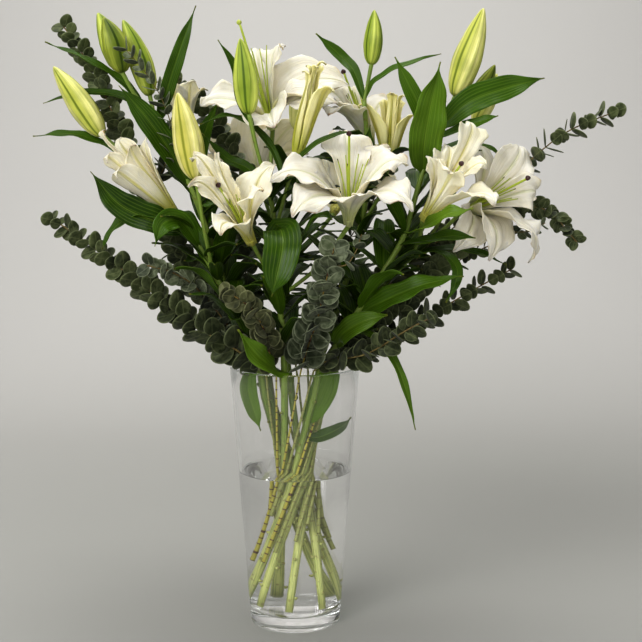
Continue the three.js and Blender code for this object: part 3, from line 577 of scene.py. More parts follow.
def veins(material, blade, perBlade, sharpness):
    # lines that follow the blade from end to end, perBlade of them side by side
    height = blade["across"]
    for operation, first, second in (("MULTIPLY", 2 * math.pi * perBlade, 0), ("COSINE", 0, 0),
                                     ("MULTIPLY_ADD", 0.5, 0.5), ("POWER", sharpness, 0)):
        height = addNode(material, "ShaderNodeMath", {"operation": operation},
                         {0: height, 1: first, 2: second}).outputs[0]
    return height


def streaksOf(material, blade, acrossCount, alongCount):
    # fine streaks that run with the blade, and differ from blade to blade by its chance
    stretched = addNode(material, "ShaderNodeVectorMath", {"operation": "MULTIPLY"},
                        {0: blade["place"], 1: (acrossCount, alongCount, 40)})
    streaks = addNode(material, "ShaderNodeTexNoise", {},
                      {"Vector": stretched.outputs[0], "Scale": 1.0, "Detail": 2.0})
    return streaks.outputs["Fac"]


def heightOf(material):
    # metres above what the vase stands on
    place = addNode(material, "ShaderNodeTexCoord")
    return addNode(material, "ShaderNodeSeparateXYZ", {}, {"Vector": place.outputs["Object"]}).outputs[2]


def plantSkin(material, colour, relief, gloss):
    # colour under its gloss, with a relief of (height, strength, depth in metres)
    height, strength, depth = relief
    bump = addNode(material, "ShaderNodeBump", {},
                   {"Height": height, "Strength": strength, "Distance": depth})
    shader = addNode(material, "ShaderNodeBsdfPrincipled", {},
                     {"Base Color": colour, "Normal": bump.outputs["Normal"], **gloss})
    return showSurface(material, shader)


petalGloss = {"Roughness": 0.48, "Specular IOR Level": 0.35, "Sheen Weight": 0.06,
              "Subsurface Weight": 0.5, "Subsurface Radius": (1.0, 0.9, 0.65), "Subsurface Scale": 0.004}


def lilyPetal(name, face, shade, throat, rib, ribForm):
    # fresh lily petal: soft waxy skin that glows a little where light comes through, with a green rib,
    # fine lengthwise veins, a yellow-green throat and brown on the oldest edges
    ribStart, ribEnd, ribStrength = ribForm
    material, blade = bladeMaterial(name)
    along, fromMiddle = blade["along"], blade["fromMiddle"]
    streaks = streaksOf(material, blade, 34, 1.6)  # a vein every 1.2 mm on a 40 mm petal
    edge = coverOf(material, [(fromMiddle, 0.88, 1, 0, 1), (along, 0.62, 0.85, 0, 1)])
    tip = coverOf(material, [(along, 0.94, 0.99, 0, 1)])
    worn = addNode(material, "ShaderNodeMath", {"operation": "MAXIMUM"}, {0: edge, 1: tip}).outputs[0]
    colour = painted(material, face, [
        (shade, (cloudOf(material, 22), 0.35, 0.7, 0, 0.4)),
        (shade, (streaks, 0.45, 0.7, 0, 0.3)),
        (rib, (fromMiddle, ribStart, ribEnd, 1, 0), (along, 0.3, 1, ribStrength, ribStrength * 0.3)),
        (throat, (along, 0.05, 0.36, 0.95, 0)),
        ("#9C6426", blade["mark"], worn, (cloudOf(material, 14), 0.42, 0.6, 0, 1)),
    ])
    ribDip = coverOf(material, [(fromMiddle, 0, 0.07, -0.6, 0)])
    height = addNode(material, "ShaderNodeMath", {"operation": "ADD"}, {0: ribDip, 1: streaks}).outputs[0]
    return plantSkin(material, colour, (height, 0.7, 0.0012), petalGloss)


leafGloss = {"Roughness": 0.36, "Specular IOR Level": 0.22,
             "Subsurface Weight": 0.08, "Subsurface Radius": (0.5, 0.9, 0.2), "Subsurface Scale": 0.002}


def lilyLeaf(name, dark, light, rib, ribs):
    # lily leaf: smooth dark cuticle with a satin shine and straight ribs from stem to tip;
    #     # a blade's chance is its own tone and its mark how much painted light makes it paler
    material, blade = bladeMaterial(name)
    lines = veins(material, blade, ribs, 5)
    colour = painted(material, dark, [
        (light, blade["chance"], 0.8),
        # painted light: the paler green of the leaves lit from the front
        ("#66841C", blade["mark"]),
        (light, (cloudOf(material, 30, 3.0), 0.3, 0.75, 0, 0.35)),
        (dark, (streaksOf(material, blade, 60, 2), 0.4, 0.7, 0, 0.35)),
        (rib, lines, 0.2),
        (rib, (blade["fromMiddle"], 0.01, 0.06, 0.35, 0)),
        ("#8A8238", (blade["along"], 0.94, 1, 0, 0.5)),
    ])
    return plantSkin(material, colour, (lines, 0.4, 0.0004), leafGloss)


budGloss = {"Roughness": 0.4, "Specular IOR Level": 0.28,
            "Subsurface Weight": 0.25, "Subsurface Radius": (0.9, 0.9, 0.3), "Subsurface Scale": 0.004}


def budSkin(name, face, flank, groove, tip):
    # closed bud: thick waxy outer petals, paler on their ribs, darker along the seams.
    # fromMiddle runs from a rib to a seam, and mark from the foot to the tip
    material, blade = bladeMaterial(name)
    fromRib, fromFoot = blade["fromMiddle"], blade["mark"]
    streaks = streaksOf(material, blade, 26, 26)
    colour = painted(material, face, [
        (flank, (fromRib, 0.1, 0.75, 0, 1)),
        (flank, (streaks, 0.42, 0.66, 0, 0.4)),
        (groove, (cloudOf(material, 26), 0.4, 0.7, 0, 0.3)),
        (groove, veins(material, blade, 4, 2), (streaks, 0.35, 0.6, 0.1, 0.5)),
        (groove, (fromRib, 0.82, 0.96, 0, 0.95)),
        (groove, (fromFoot, 0, 0.22, 0.6, 0)),
        (tip, (fromFoot, 0.75, 0.97, 0, 0.6)),
        ("#7A4A1E", (fromFoot, 0.965, 1, 0, 0.8)),
    ])
    return plantSkin(material, colour, (streaks, 0.6, 0.0009), budGloss)


stemGloss = {"Roughness": 0.42,
             "Subsurface Weight": 0.1, "Subsurface Radius": (0.6, 0.8, 0.3), "Subsurface Scale": 0.003}


def lilyStem():
    # lily stem: ridged green skin, paler and yellower down in the water, a pale cut end and brown scars
    material, blade = bladeMaterial("lily stem skin")
    streaks = streaksOf(material, blade, 22, 26)
    height = heightOf(material)
    colour = painted(material, "#CBCF82", [
        ("#7F953E", (height, 0.12, 0.25, 0, 1)),
        ("#4E6820", (streaks, 0.45, 0.65, 0, 0.5)),
        ("#DADCB0", (height, 0.0225, 0.0255, 0.8, 0)),
        ("#7A5E30", blade["mark"], 0.55),
        ("#6B4A2A", (cloudOf(material, 5, 1.0), 0.62, 0.72, 0, 0.4)),
    ])
    return plantSkin(material, colour, (streaks, 0.5, 0.0008), stemGloss)


filamentGloss = {"Roughness": 0.4,
                 "Subsurface Weight": 0.2, "Subsurface Radius": (0.8, 0.8, 0.3), "Subsurface Scale": 0.002}


def filamentSkin():
    # filaments and pistil: slim, waxy, yellow-green, with a dark stigma and a few brown ends
    material, blade = bladeMaterial("filament skin")
    streaks = streaksOf(material, blade, 8, 90)
    colour = painted(material, "#AEBB42", [
        ("#7E9428", streaks, 0.4),
        ("#CBD27A", (blade["along"], 0, 0.022, 0.4, 0)),
        ("#3E1E1C", blade["mark"]),
    ])
    return plantSkin(material, colour, (streaks, 0.3, 0.0004), filamentGloss)


eucalyptusGloss = {"Roughness": 0.58, "Specular IOR Level": 0.28, "Sheen Weight": 0.08}


def eucalyptusLeaf(name, dark, light, dust):
    # silver-dollar eucalyptus leaf: leathery and matt under a dusty wax, with a pale rim and rib.
    # A blade's mark runs from the middle of the leaf to its rim
    material, blade = bladeMaterial(name)
    bloomOfWax = cloudOf(material, 7, 4.0, 0.6)
    waxed = (blade["chance"], 0, 0.35, 0.22, 0.55)  # the darkest leaves have the least
    colour = painted(material, dark, [
        (light, blade["chance"]),
        (dust, (bloomOfWax, 0.35, 0.7, 0, 1), waxed),
        (dust, (blade["fromMiddle"], 0.02, 0.1, 1, 0), waxed),
        (dust, (blade["mark"], 0.86, 0.98, 0, 0.5)),
    ])
    return plantSkin(material, colour, (bloomOfWax, 0.35, 0.0006), eucalyptusGloss)


def twigBark():
    # young eucalyptus twig: olive skin, yellow on a few, browner above the neck, with a brown ring at
    # each joint that is strongest on a yellow twig
    material, blade = bladeMaterial("eucalyptus twig bark")
    streaks = streaksOf(material, blade, 8, 70)
    colour = painted(material, "#A2A662", [
        ("#C3B84C", (blade["chance"], 0.55, 0.75, 0, 1)),
        ("#6A6B28", streaks, 0.5),
        ("#6B4C2A", (heightOf(material), 0.26, 0.34, 0, 0.75)),
        ("#4A2A16", (blade["mark"], 0.3, 0.8, 0, 1), (blade["chance"], 0.55, 0.75, 0.4, 1)),
    ])
    return plantSkin(material, colour, (streaks, 0.4, 0.0004), {"Roughness": 0.55})


# Petals

# Each bloom: name, base, the way it opens, colour, petals (tip, width, curl), reach of its pistil.
blooms = [
    ["lily_front_left", [-45, -55, 443], [-0.34, -0.53, 0.78], "cream",
      [[[-105, -95, 531], 21, 0.5], [[-80, -68, 540], 20, 0.1], [[-19, -50, 527], 44, 0.2],
        [[-107, -115, 504], 31, 0.05], [[-73, -125, 455], 44, 0.3], [[-30, -104, 500], 44, 0.3]], 76],
    ["lily_front", [60, -60, 464], [0.05, -0.36, 0.93], "white",
      [[[54, -42, 562], 56, 0.1], [[-22, -110, 509], 52, 0.5], [[1, -140, 474], 50, 0.5],
        [[104, -50, 543], 52, 0.2], [[120, -90, 526], 46, 0.4], [[123, -140, 480], 50, 0.5]], 96],
    ["lily_top", [-25, 10, 568], [-0.25, 0.02, 0.97], "white",
      [[[-102, -20, 591], 46, 0.15], [[-40, 54, 656], 44, 0.1], [[-10, 30, 660], 44, 0.1],
        [[62, 32, 616], 56, 0.4], [[-26, -52, 570], 48, 0.5], [[48, -6, 594], 50, 0.5]], 116],
    ["lily_half_open_centre", [4, -45, 538], [0.2, -0.02, 0.98], "cream",
      [[[32, -32, 632], 30, 0], [[36, -48, 634], 28, 0.1], [[14, -38, 633], 30, 0],
        [[26, -58, 630], 28, 0], [[44, -62, 604], 32, 0.3], [[10, -54, 626], 30, 0]], 0],
    ["lily_half_open_right", [108, 42, 528], [0.06, 0, 1], "cream",
      [[[110, 28, 607], 26, 0], [[128, 38, 604], 26, 0.1], [[140, 30, 578], 24, 0.5],
        [[72, 30, 582], 26, 0.5], [[122, 60, 600], 26, 0.1], [[100, 60, 600], 26, 0.1]], 0],
    ["lily_behind", [89, 50, 544], [-0.3, 0.1, 0.95], "white",
      [[[31, 56, 604], 48, 0.4], [[68, 92, 614], 50, 0.3], [[38, 8, 582], 44, 0.5],
        [[30, 26, 592], 42, 0.5], [[124, 92, 602], 44, 0.4]], 90],
    ["lily_right", [141, -60, 469], [0.55, -0.2, 0.8], "cream",
      [[[142, -66, 536], 42, 0], [[186, -50, 572], 46, 0.2], [[206, -74, 522], 48, 0.3],
        [[211, -106, 484], 48, 0.3], [[162, -106, 520], 44, 0.1], [[166, -30, 548], 46, 0.1]], 66],
    ["lily_far_right", [189, 0, 474], [0.75, -0.5, 0.42], "white",
      [[[207, 22, 552], 54, 0.2], [[254, 18, 545], 50, 0.4], [[258, -42, 420], 36, 0.95],
        [[173, -60, 434], 46, 0.6], [[212, -56, 424], 44, 0.7], [[268, -6, 492], 46, 0.6]], 84],
    ["lily_left", [-134, -20, 475], [-0.66, -0.2, 0.72], "cream",
      [[[-205, -32, 565], 30, 0.1], [[-199, -62, 529], 30, 0.4], [[-187, -72, 512], 30, 0.5],
        [[-158, -12, 560], 30, 0.1], [[-192, 2, 556], 30, 0.2], [[-168, -60, 548], 30, 0.2]], 0],
    ["lily_back_left", [-125, 30, 555], [-0.1, 0.15, 0.98], "cream",
      [[[-158, 38, 620], 30, 0.2], [[-100, 50, 612], 30, 0.2], [[-126, 70, 618], 32, 0.2],
        [[-142, 8, 618], 28, 0.1], [[-112, 14, 620], 30, 0.1]], 0],
    ["lily_rear_left", [-43, 124, 498], [-0.3, 0.62, 0.72], "white",
      [[[-50, 108, 598], 50, 0.2], [[-122, 130, 566], 50, 0.4], [[-126, 178, 510], 46, 0.5],
        [[-56, 218, 510], 48, 0.5], [[14, 192, 540], 50, 0.4], [[10, 134, 580], 46, 0.2]], 88],
    ["lily_rear_right", [46, 134, 468], [0.3, 0.75, 0.58], "cream",
      [[[60, 142, 566], 48, 0.2], [[2, 200, 528], 42, 0.3], [[10, 214, 474], 46, 0.5],
        [[76, 218, 448], 48, 0.5], [[134, 192, 484], 46, 0.5], [[122, 148, 546], 46, 0.3]], 82],
]

petalForm = {"across": 22, "along": 36, "crowding": 1.25, "thickness": 0.7, "layer": 0.8, "twist": 14,
             "innerWidth": 1.12, "innerShare": 0.92, "outerWidth": 1.0, "outerShare": 0.74,
             "closedWidth": 1.12, "closedShare": 0.86, "narrowFrom": 0.66, "point": 0.5, "closedPoint": 0.75,
             "ripple": 2.7, "rippleLength": 25, "crimp": 0.75, "crimpLength": 8, "crease": 1.6, "fold": 0.24,
             "groove": 1.4, "grooveWidth": 0.09, "ridge": 0.7, "ridgeAt": 0.24, "ridgeWidth": 0.11,
             "furrow": 0.32, "furrows": 15, "tipMark": 0.15, "creases": 2.6, "creaseSlant": 0.7}
closedCalm = {"ripple": 0.3, "twist": 0.2, "crimp": 0.4, "crease": 0.3}  # shares left in a closed bloom
# Where between foot (0) and tip (1) each change in a petal takes place.
petalSpans = {"unrolls": (0.3, 0.65), "curls": (0.5, 1), "meets": (0.4, 0.8), "ruffles": (0.22, 0.6),
              "calms": (0.9, 1), "furrows": (0.2, 0.5), "twists": (0.3, 1), "turns": (0.12, 0.55)}
petalRoot = {"out": 3.2, "down": 1}
petalCurve = {"up": 0.42, "out": 0.04, "outClosed": 0.15, "tipUp": 0.1, "tipCurl": 0.45, "tipIn": 0.24}


def petalHandles(base, axis, tip, curl, isClosed, bend):
    start, end = Vector(base), Vector(tip)
    span = end - start
    length = span.length
    out = (span - axis * span.dot(axis)).normalized()
    side = axis.cross(out).normalized()
    end = end + axis * (bend[0] * length * bendShare) + side * (bend[1] * length * bendShare)
    start = start + out * petalRoot["out"] - axis * petalRoot["down"]
    swell = length * petalCurve["outClosed" if isClosed else "out"]
    tipUp = length * (petalCurve["tipUp"] + curl * petalCurve["tipCurl"])
    handles = (start, start + axis * (length * petalCurve["up"]) + out * swell,
               end + axis * tipUp - out * (length * petalCurve["tipIn"]), end)
    return handles, -side, length


def crowded(across):
    # columns of points stand closer near the rib
    return math.copysign(abs(across) ** petalForm["crowding"], across)


def petalPiece(name, order, base, axis, petal, bend, isInner, isClosed, chance):
    tip, width, curl = petal
    handles, side, length = petalHandles(base, axis, tip, curl, isClosed, bend)
    origin = Vector(base)
    kind = "closed" if isClosed else "inner" if isInner else "outer"
    widen, share = petalForm[kind + "Width"], petalForm[kind + "Share"]
    turned = facings.get(name, [0] * 6)[order]
    ruffle = ruffles.get(name, 1)
    calm = closedCalm if isClosed else {"ripple": 1, "twist": 1, "crimp": 1, "crease": ruffle}
    waves = length / petalForm["rippleLength"]
    phases = [chance.uniform(0, 6.3) for i in range(4)]
    height = petalForm["ripple"] * chance.uniform(0.7, 1.35) * ruffle * calm["ripple"]
    # ruffles, fine crimps and slanting creases: how high, how near the edge, how many, their slant,
    # and the phase that each has left and right of the rib
    edgeWaves = [(height, 2.4, waves, 0, (phases[1], phases[0])),
                 (petalForm["crimp"] * calm["crimp"], 5, length / petalForm["crimpLength"], 0,
                  (phases[3], phases[1])),
                 (petalForm["crease"] * calm["crease"], 1, petalForm["creases"], petalForm["creaseSlant"],
                  (phases[2], phases[3]))]
    twist = math.radians(chance.uniform(-petalForm["twist"], petalForm["twist"])) * calm["twist"]
    turning = petalSpans["twists"]
    if turned:
        # turned about its own length until more of its inner face looks at -Y
        turning = petalSpans["turns"]
        heading = (bezier(handles, 0.75) - bezier(handles, 0.45)).normalized()
        face = (side - heading * side.dot(heading)).normalized().cross(heading)
        twist = math.copysign(math.radians(turned), heading.dot(face.cross(frontward)))
    tone = chance.random()
    tipMark = tipMarks.get(name, petalForm["tipMark"])
    layer = petalForm["layer"] if isInner else -petalForm["layer"]
    usual = petalForm["narrowFrom"], petalForm["closedPoint" if isClosed else "point"]
    narrowFrom, narrowing = narrowings.get(name, usual)
    rows = {}

    def rowAt(along):
        if along not in rows:
            point = bezier(handles, along)
            ahead, behind = bezier(handles, min(along + 0.01, 1)), bezier(handles, max(along - 0.01, 0))
            heading = (ahead - behind).normalized()
            level = (side - heading * side.dot(heading)).normalized()
            level.rotate(Matrix.Rotation(twist * smooth(*turning, along), 3, heading))
            offset = point - origin
            fromAxis = (offset - axis * offset.dot(axis)).length
            profile = math.sin(math.pi * (0.03 + 0.97 * along) ** 1.1) ** 0.7 if along < 1 else 0
            profile *= 1 - narrowing * smooth(narrowFrom, 1, along)
            half = max(min(profile * width / 2 * widen, fromAxis * share), 0.4)
            half *= 1 + 0.035 * math.sin(2 * math.pi * waves * 0.6 * along + phases[2])
            rows[along] = point, level, level.cross(heading), half, fromAxis
        return rows[along]

    def place(across, along):
        point, level, up, half, fromAxis = rowAt(along)
        u = crowded(across)
        x = half * u
        # rolled into a tube near the base, spread further out
        tubeRadius = max(fromAxis, half * 1.05)
        rolled = tubeRadius - math.sqrt(tubeRadius ** 2 - x * x)
        curled = mixed(petalForm["fold"], -0.04 - 0.2 * curl, smooth(*petalSpans["curls"], along))
        lift = mixed(rolled, curled * half * u * u, smooth(*petalSpans["unrolls"], along))
        lift += layer * (1 - smooth(*petalSpans["meets"], along))
        free = smooth(*petalSpans["ruffles"], along) * (1 - 0.6 * smooth(*petalSpans["calms"], along))
        for high, power, count, slant, sides in edgeWaves:
            wave = math.sin(2 * math.pi * (count * along - slant * abs(u)) + sides[u > 0])
            lift += high * free * abs(u) ** power * wave
        # lengthwise furrows, the groove along the rib and a ridge each side of it
        furrow = petalForm["furrow"] * math.cos(petalForm["furrows"] * abs(u) + phases[2])
        lift += furrow * smooth(*petalSpans["furrows"], along)
        lift -= petalForm["groove"] * math.exp(-(u / petalForm["grooveWidth"]) ** 2) * (1 - 0.5 * along)
        fromRidge = (abs(u) - petalForm["ridgeAt"]) / petalForm["ridgeWidth"]
        lift += petalForm["ridge"] * math.exp(-fromRidge ** 2) * (1 - 0.7 * along)
        return point + level * x + up * lift

    def look(across, along):
        return (crowded(across) + 1) / 2, along, tone, tipMark

    return shapedCopy(petalSheet, place, look)


petalSheet = blankSheet("petal sheet", petalForm["across"], petalForm["along"])
petalSkins = {
    "white": lilyPetal("white lily petal", "#E7E0CF", "#CFC5A9", "#CBD086", "#C9CE8A", (0.02, 0.15, 0.5)),
    "cream": lilyPetal("cream lily petal", "#F8F0D6", "#EADCAE", "#C8C250", "#CEC566", (0.02, 0.18, 0.8)),
    "pale": lilyPetal("pale yellow lily petal", "#F5EBAE", "#E2D67E", "#ABAE3C", "#989630",
                      (0.12, 0.55, 0.95)),
}
petalSkinOf = {"lily_half_open_centre": "pale", "lily_half_open_right": "pale", "lily_back_left": "cream"}
# How brown the edges and tips of a bloom's petals are, where more than usual.
tipMarks = {"lily_left": 0.8, "lily_back_left": 0.6, "lily_half_open_right": 0.4, "lily_right": 0.35,
            "lily_top": 0.5, "lily_behind": 0.7, "lily_front_left": 0.5, "lily_far_right": 0.4,
            "lily_front": 0.6}
# Degrees that each petal turns its inner face towards -Y, where it is more than a little.
facings = {"lily_top": [45, 12, 12, 62, 20, 40], "lily_behind": [40, 15, 20, 30, 40],
           "lily_far_right": [12, 20, 0, 10, 12, 20], "lily_front": [0, 14, 8, 8, 16, 8],
           "lily_front_left": [35, 30, 15, 72, 24, 0], "lily_right": [25, 10, 25, 20, 0, 25]}
# Where the petals of a bloom start to narrow towards their tips and how much, where not as usual.
narrowings = {"lily_left": (0.56, 0.9), "lily_front_left": (0.42, 0.6), "lily_back_left": (0.5, 0.6)}
# How much more the petals of a bloom are ruffled than usual.
ruffles = {"lily_front": 1.5, "lily_top": 1.25, "lily_far_right": 1.3, "lily_right": 1.2}
cupForm = {"below": 3, "height": 5, "footRadius": 3.0, "topRadius": 5.8, "rows": 8}


def makeBloom(name, base, direction, colour, petals, reach):
    chance = random.Random(name)
    tree = cornersOf(name)
    axis = Vector(direction).normalized()
    isClosed = reach == 0
    skin = petalSkins[petalSkinOf.get(name, colour)]
    across = axis.orthogonal().normalized()
    other = axis.cross(across)

    def bearing(petal):
        offset = Vector(petal[0]) - Vector(base)
        return math.atan2(offset.dot(other), offset.dot(across))

    pieces = []
    for rank, petal in enumerate(sorted(petals, key=bearing)):
        tip, _, curl = petal
        bend = foundBend(tree, lambda bend: [petalHandles(base, axis, tip, curl, isClosed, bend)[0][3]])
        if bend is None:
            print("left out: a petal of", name)
            continue
        pieces.append(petalPiece(name, petals.index(petal), base, axis, petal, bend, rank % 2 == 0,
                                 isClosed, chance))
    bloom = joined(name + "_petals", pieces)
    bloom.data.materials.append(skin)
    thickened(bloom, petalForm["thickness"])
    # the small cup where the petals meet the stalk
    foot = Vector(base) - axis * cupForm["below"]
    step = (cupForm["below"] + cupForm["height"]) / (cupForm["rows"] - 1)
    line = [foot + axis * (step * i) for i in range(cupForm["rows"])]
    cup = tube(16, line, lambda share: mixed(cupForm["footRadius"], cupForm["topRadius"], share ** 0.7),
               chance=0.1)
    sewnUp(cup)
    cup.data.materials.append(skin)
    bloom = joined(name + "_petals", [bloom, cup])
    dress(bloom, name)


for bloom in blooms:
    makeBloom(*bloom)
print("petals ready")


heartForm = {"above": 0.3, "knobRadius": 2.6, "knobHeight": 3, "knobTaper": 0.25, "steps": 16,
             "filaments": 6, "firstAt": 0.35, "ring": 1.9, "radius": 0.95, "share": 0.72, "lean": 0.24,
             "pistilRadius": 1.3, "ovary": 2.9, "pistilLean": 0.06, "stigma": 3.3, "stigmaLength": 5.5,
             "stigmaBelow": 1.5, "leanStep": 0.06, "turnStep": 0.05}
solidRadii = {"pistil": 1.9, "filament": 0.8}  # of their ends in the solids
greenStigmas = ["lily_top"]
filaments = filamentSkin()


def makeHeart(name, base, direction, reach):
    # filaments round a pistil; the pollen sacs were cut off
    node = name + "_stamens"
    chance = random.Random(node)
    tree = cornersOf(node)
    axis = Vector(direction).normalized()
    across = axis.cross(Vector((0.2, 0.4, 1))).normalized()
    root = Vector(base) + axis * (cupForm["height"] + heartForm["above"])
    knobLine = [root + axis * (heartForm["knobHeight"] * i / 3) for i in range(4)]
    pieces = [tube(12, knobLine,
                   lambda share: heartForm["knobRadius"] * (1 - heartForm["knobTaper"] * share))]
    for k in range(heartForm["filaments"] + 1):
        isPistil = k == heartForm["filaments"]
        out = across.copy()
        out.rotate(Matrix.Rotation(2 * math.pi * k / heartForm["filaments"] + heartForm["firstAt"], 3, axis))
        side = axis.cross(out)
        length = reach if isPistil else reach * heartForm["share"]
        lean = heartForm["pistilLean"] if isPistil else heartForm["lean"]
        radius = solidRadii["pistil" if isPistil else "filament"]

        def endAt(bend):
            return (root + axis * length + out * (length * (lean - bend[0] * heartForm["leanStep"]))
                    + side * (length * bend[1] * heartForm["turnStep"]))

        end = endAt(min(bends, key=lambda bend: abs(tree.find(endAt(bend))[2] - radius)))
        start = root + axis * (heartForm["knobHeight"] * 0.66) + out * (0 if isPistil else heartForm["ring"])
        middle = root + axis * (length * 0.5) + out * (heartForm["ring"] + length * lean * 0.2)
        line = []
        for i in range(heartForm["steps"]):
            t = i / (heartForm["steps"] - 1)
            line.append(start * (1 - t) ** 2 + middle * (2 * t * (1 - t)) + end * t ** 2)
        if isPistil:
            pieces.append(tube(10, line, lambda share: mixed(
                heartForm["ovary"], heartForm["pistilRadius"], smooth(0.12, 0.42, share))))
            heading = (line[-1] - line[-2]).normalized()
            tipLine = [end + heading * (heartForm["stigmaLength"] * i / 8 - heartForm["stigmaBelow"])
                       for i in range(9)]
            pieces.append(tube(
                24, tipLine,
                lambda share: heartForm["stigma"] * math.sin(math.pi * (0.12 + 0.84 * share)) ** 0.7,
                mark=0.0 if name in greenStigmas else 1.0,
                lobes=lambda turn, share: 0.82 + 0.18 * math.cos(3 * turn)))
        else:
            endMark = 1.0 if chance.random() > 0.6 else 0.3
            pieces.append(tube(8, line, lambda share: heartForm["radius"] * (1.05 - 0.45 * share),
                               chance=chance.random(), mark=lambda share: endMark * smooth(0.94, 1, share)))
    heart = sewnUp(joined(name + "_filaments", pieces))
    heart.data.materials.append(filaments)
    dress(heart, node)


for name, base, direction, _, _, reach in blooms:
    if reach:
        makeHeart(name, base, direction, reach)
print("filaments ready")


# Buds

# Each bud: name, base, tip, widest radius, colour.
buds = [
    ["bud_left", [-214, 0, 559], [-267, 0, 635], 14, "green"],
    ["bud_upper_left_inner", [-163, 20, 604], [-192, 20, 688], 13, "light"],
    ["bud_upper_left_front", [-190, -2, 628], [-210, -2, 688], 14, "dark"],
    ["bud_upper_left_back", [-200, 30, 634], [-222, 32, 697], 13, "light"],
    ["bud_centre_left", [-48, -40, 581], [-57, -40, 662], 13, "light"],
    ["bud_top", [87, 30, 639], [90, 30, 700], 10.5, "light"],
    ["bud_upper_right", [177, -20, 601], [207, -20, 696], 15, "green"],
    ["bud_upper_right_small", [197, 0, 596], [223, 0, 637], 9, "dark"],
    ["bud_far_right_back", [207, 40, 572], [231, 40, 630], 11, "green"],
    ["bud_pale_left", [-105, -50, 511], [-124, -50, 604], 15, "pale"],
    ["bud_back", [2, 118, 567], [6, 124, 642], 14, "green"],
]

budForm = {"sides": 54, "rows": 30, "seam": 0.24, "seamDepth": 0.13, "swell": 0.05, "rib": 0.08,
           "ridges": 0.03, "wrinkle": 0.03, "opening": 2.0, "turn": 0.35, "bow": 0.12, "least": 0.03}
openingBuds = ["bud_pale_left"]
# share of the length, and of the widest radius there
budShape = [(0, 0.16), (0.04, 0.5), (0.18, 0.86), (0.42, 1.01), (0.68, 0.8), (0.9, 0.38), (0.985, 0.13),
            (1, 0.02)]
budSkins = {
    "green": budSkin("green bud skin", "#E9E59A", "#C3C65E", "#707F26", "#EFE9A6"),
    "dark": budSkin("dark green bud skin", "#A3AC42", "#68781E", "#2E4208", "#BEC05A"),
    "light": budSkin("light green bud skin", "#CCD46A", "#94A638", "#4A6412", "#D6DA8A"),
    "pale": budSkin("pale yellow bud skin", "#EEE7A6", "#CFC968", "#8A8F2E", "#F2ECBC"),
}


def makeBud(name, base, tip, radius, colour):
    chance = random.Random(name)
    start, end = Vector(base), Vector(tip)
    profile = lineThrough([(share * 10, swell * 10, 0) for share, swell in budShape])
    rows = budForm["rows"]
    samples = [profile["at"](i / (rows - 1)) / 10 for i in range(rows)]
    bow = (end - start).normalized().orthogonal() * (radius * budForm["bow"])
    line = [start.lerp(end, min(max(p.x, 0), 1)) + bow * math.sin(math.pi * p.x) for p in samples]
    swells = [max(p.y, budForm["least"]) for p in samples]
    turnAt = chance.uniform(0, 2)
    ridged = budForm["opening"] if name in openingBuds else 1

    def radiusAt(share):
        return radius * swells[round(share * (rows - 1))]

    def aroundAt(turn, share):
        # 0 on the rib of an outer petal, pi on the seam beside it
        around = 3 * (turn + turnAt + budForm["turn"] * share) % (2 * math.pi)
        return min(around, 2 * math.pi - around)

    def lobes(turn, share):
        around = aroundAt(turn, share)
        body = math.sin(math.pi * min(share * 1.05, 1))
        swell = 1 + budForm["swell"] * math.cos(around)
        swell += budForm["rib"] * ridged * math.exp(-(around / 0.3) ** 2) * body
        swell += budForm["ridges"] * ridged * math.cos(4 * around) * body
        wrinkle = math.sin(5 * turn + 5 * share + turnAt) * math.cos(9 * share + turn)
        swell += budForm["wrinkle"] * wrinkle * body
        return swell - budForm["seamDepth"] * math.exp(-((math.pi - around) / budForm["seam"]) ** 2) * body

    skin = tube(budForm["sides"], line, radiusAt, chance=chance.random(), mark=lambda share: share,
                lobes=lobes, acrossAt=lambda turn, share: 0.5 + aroundAt(turn, share) / (2 * math.pi))
    bud = sewnUp(joined(name + "_skin", [skin]))
    bud.data.materials.append(budSkins[colour])
    dress(bud, name)


for bud in buds:
    makeBud(*bud)
print("buds ready")


# Lily stems with their stalks and leaves

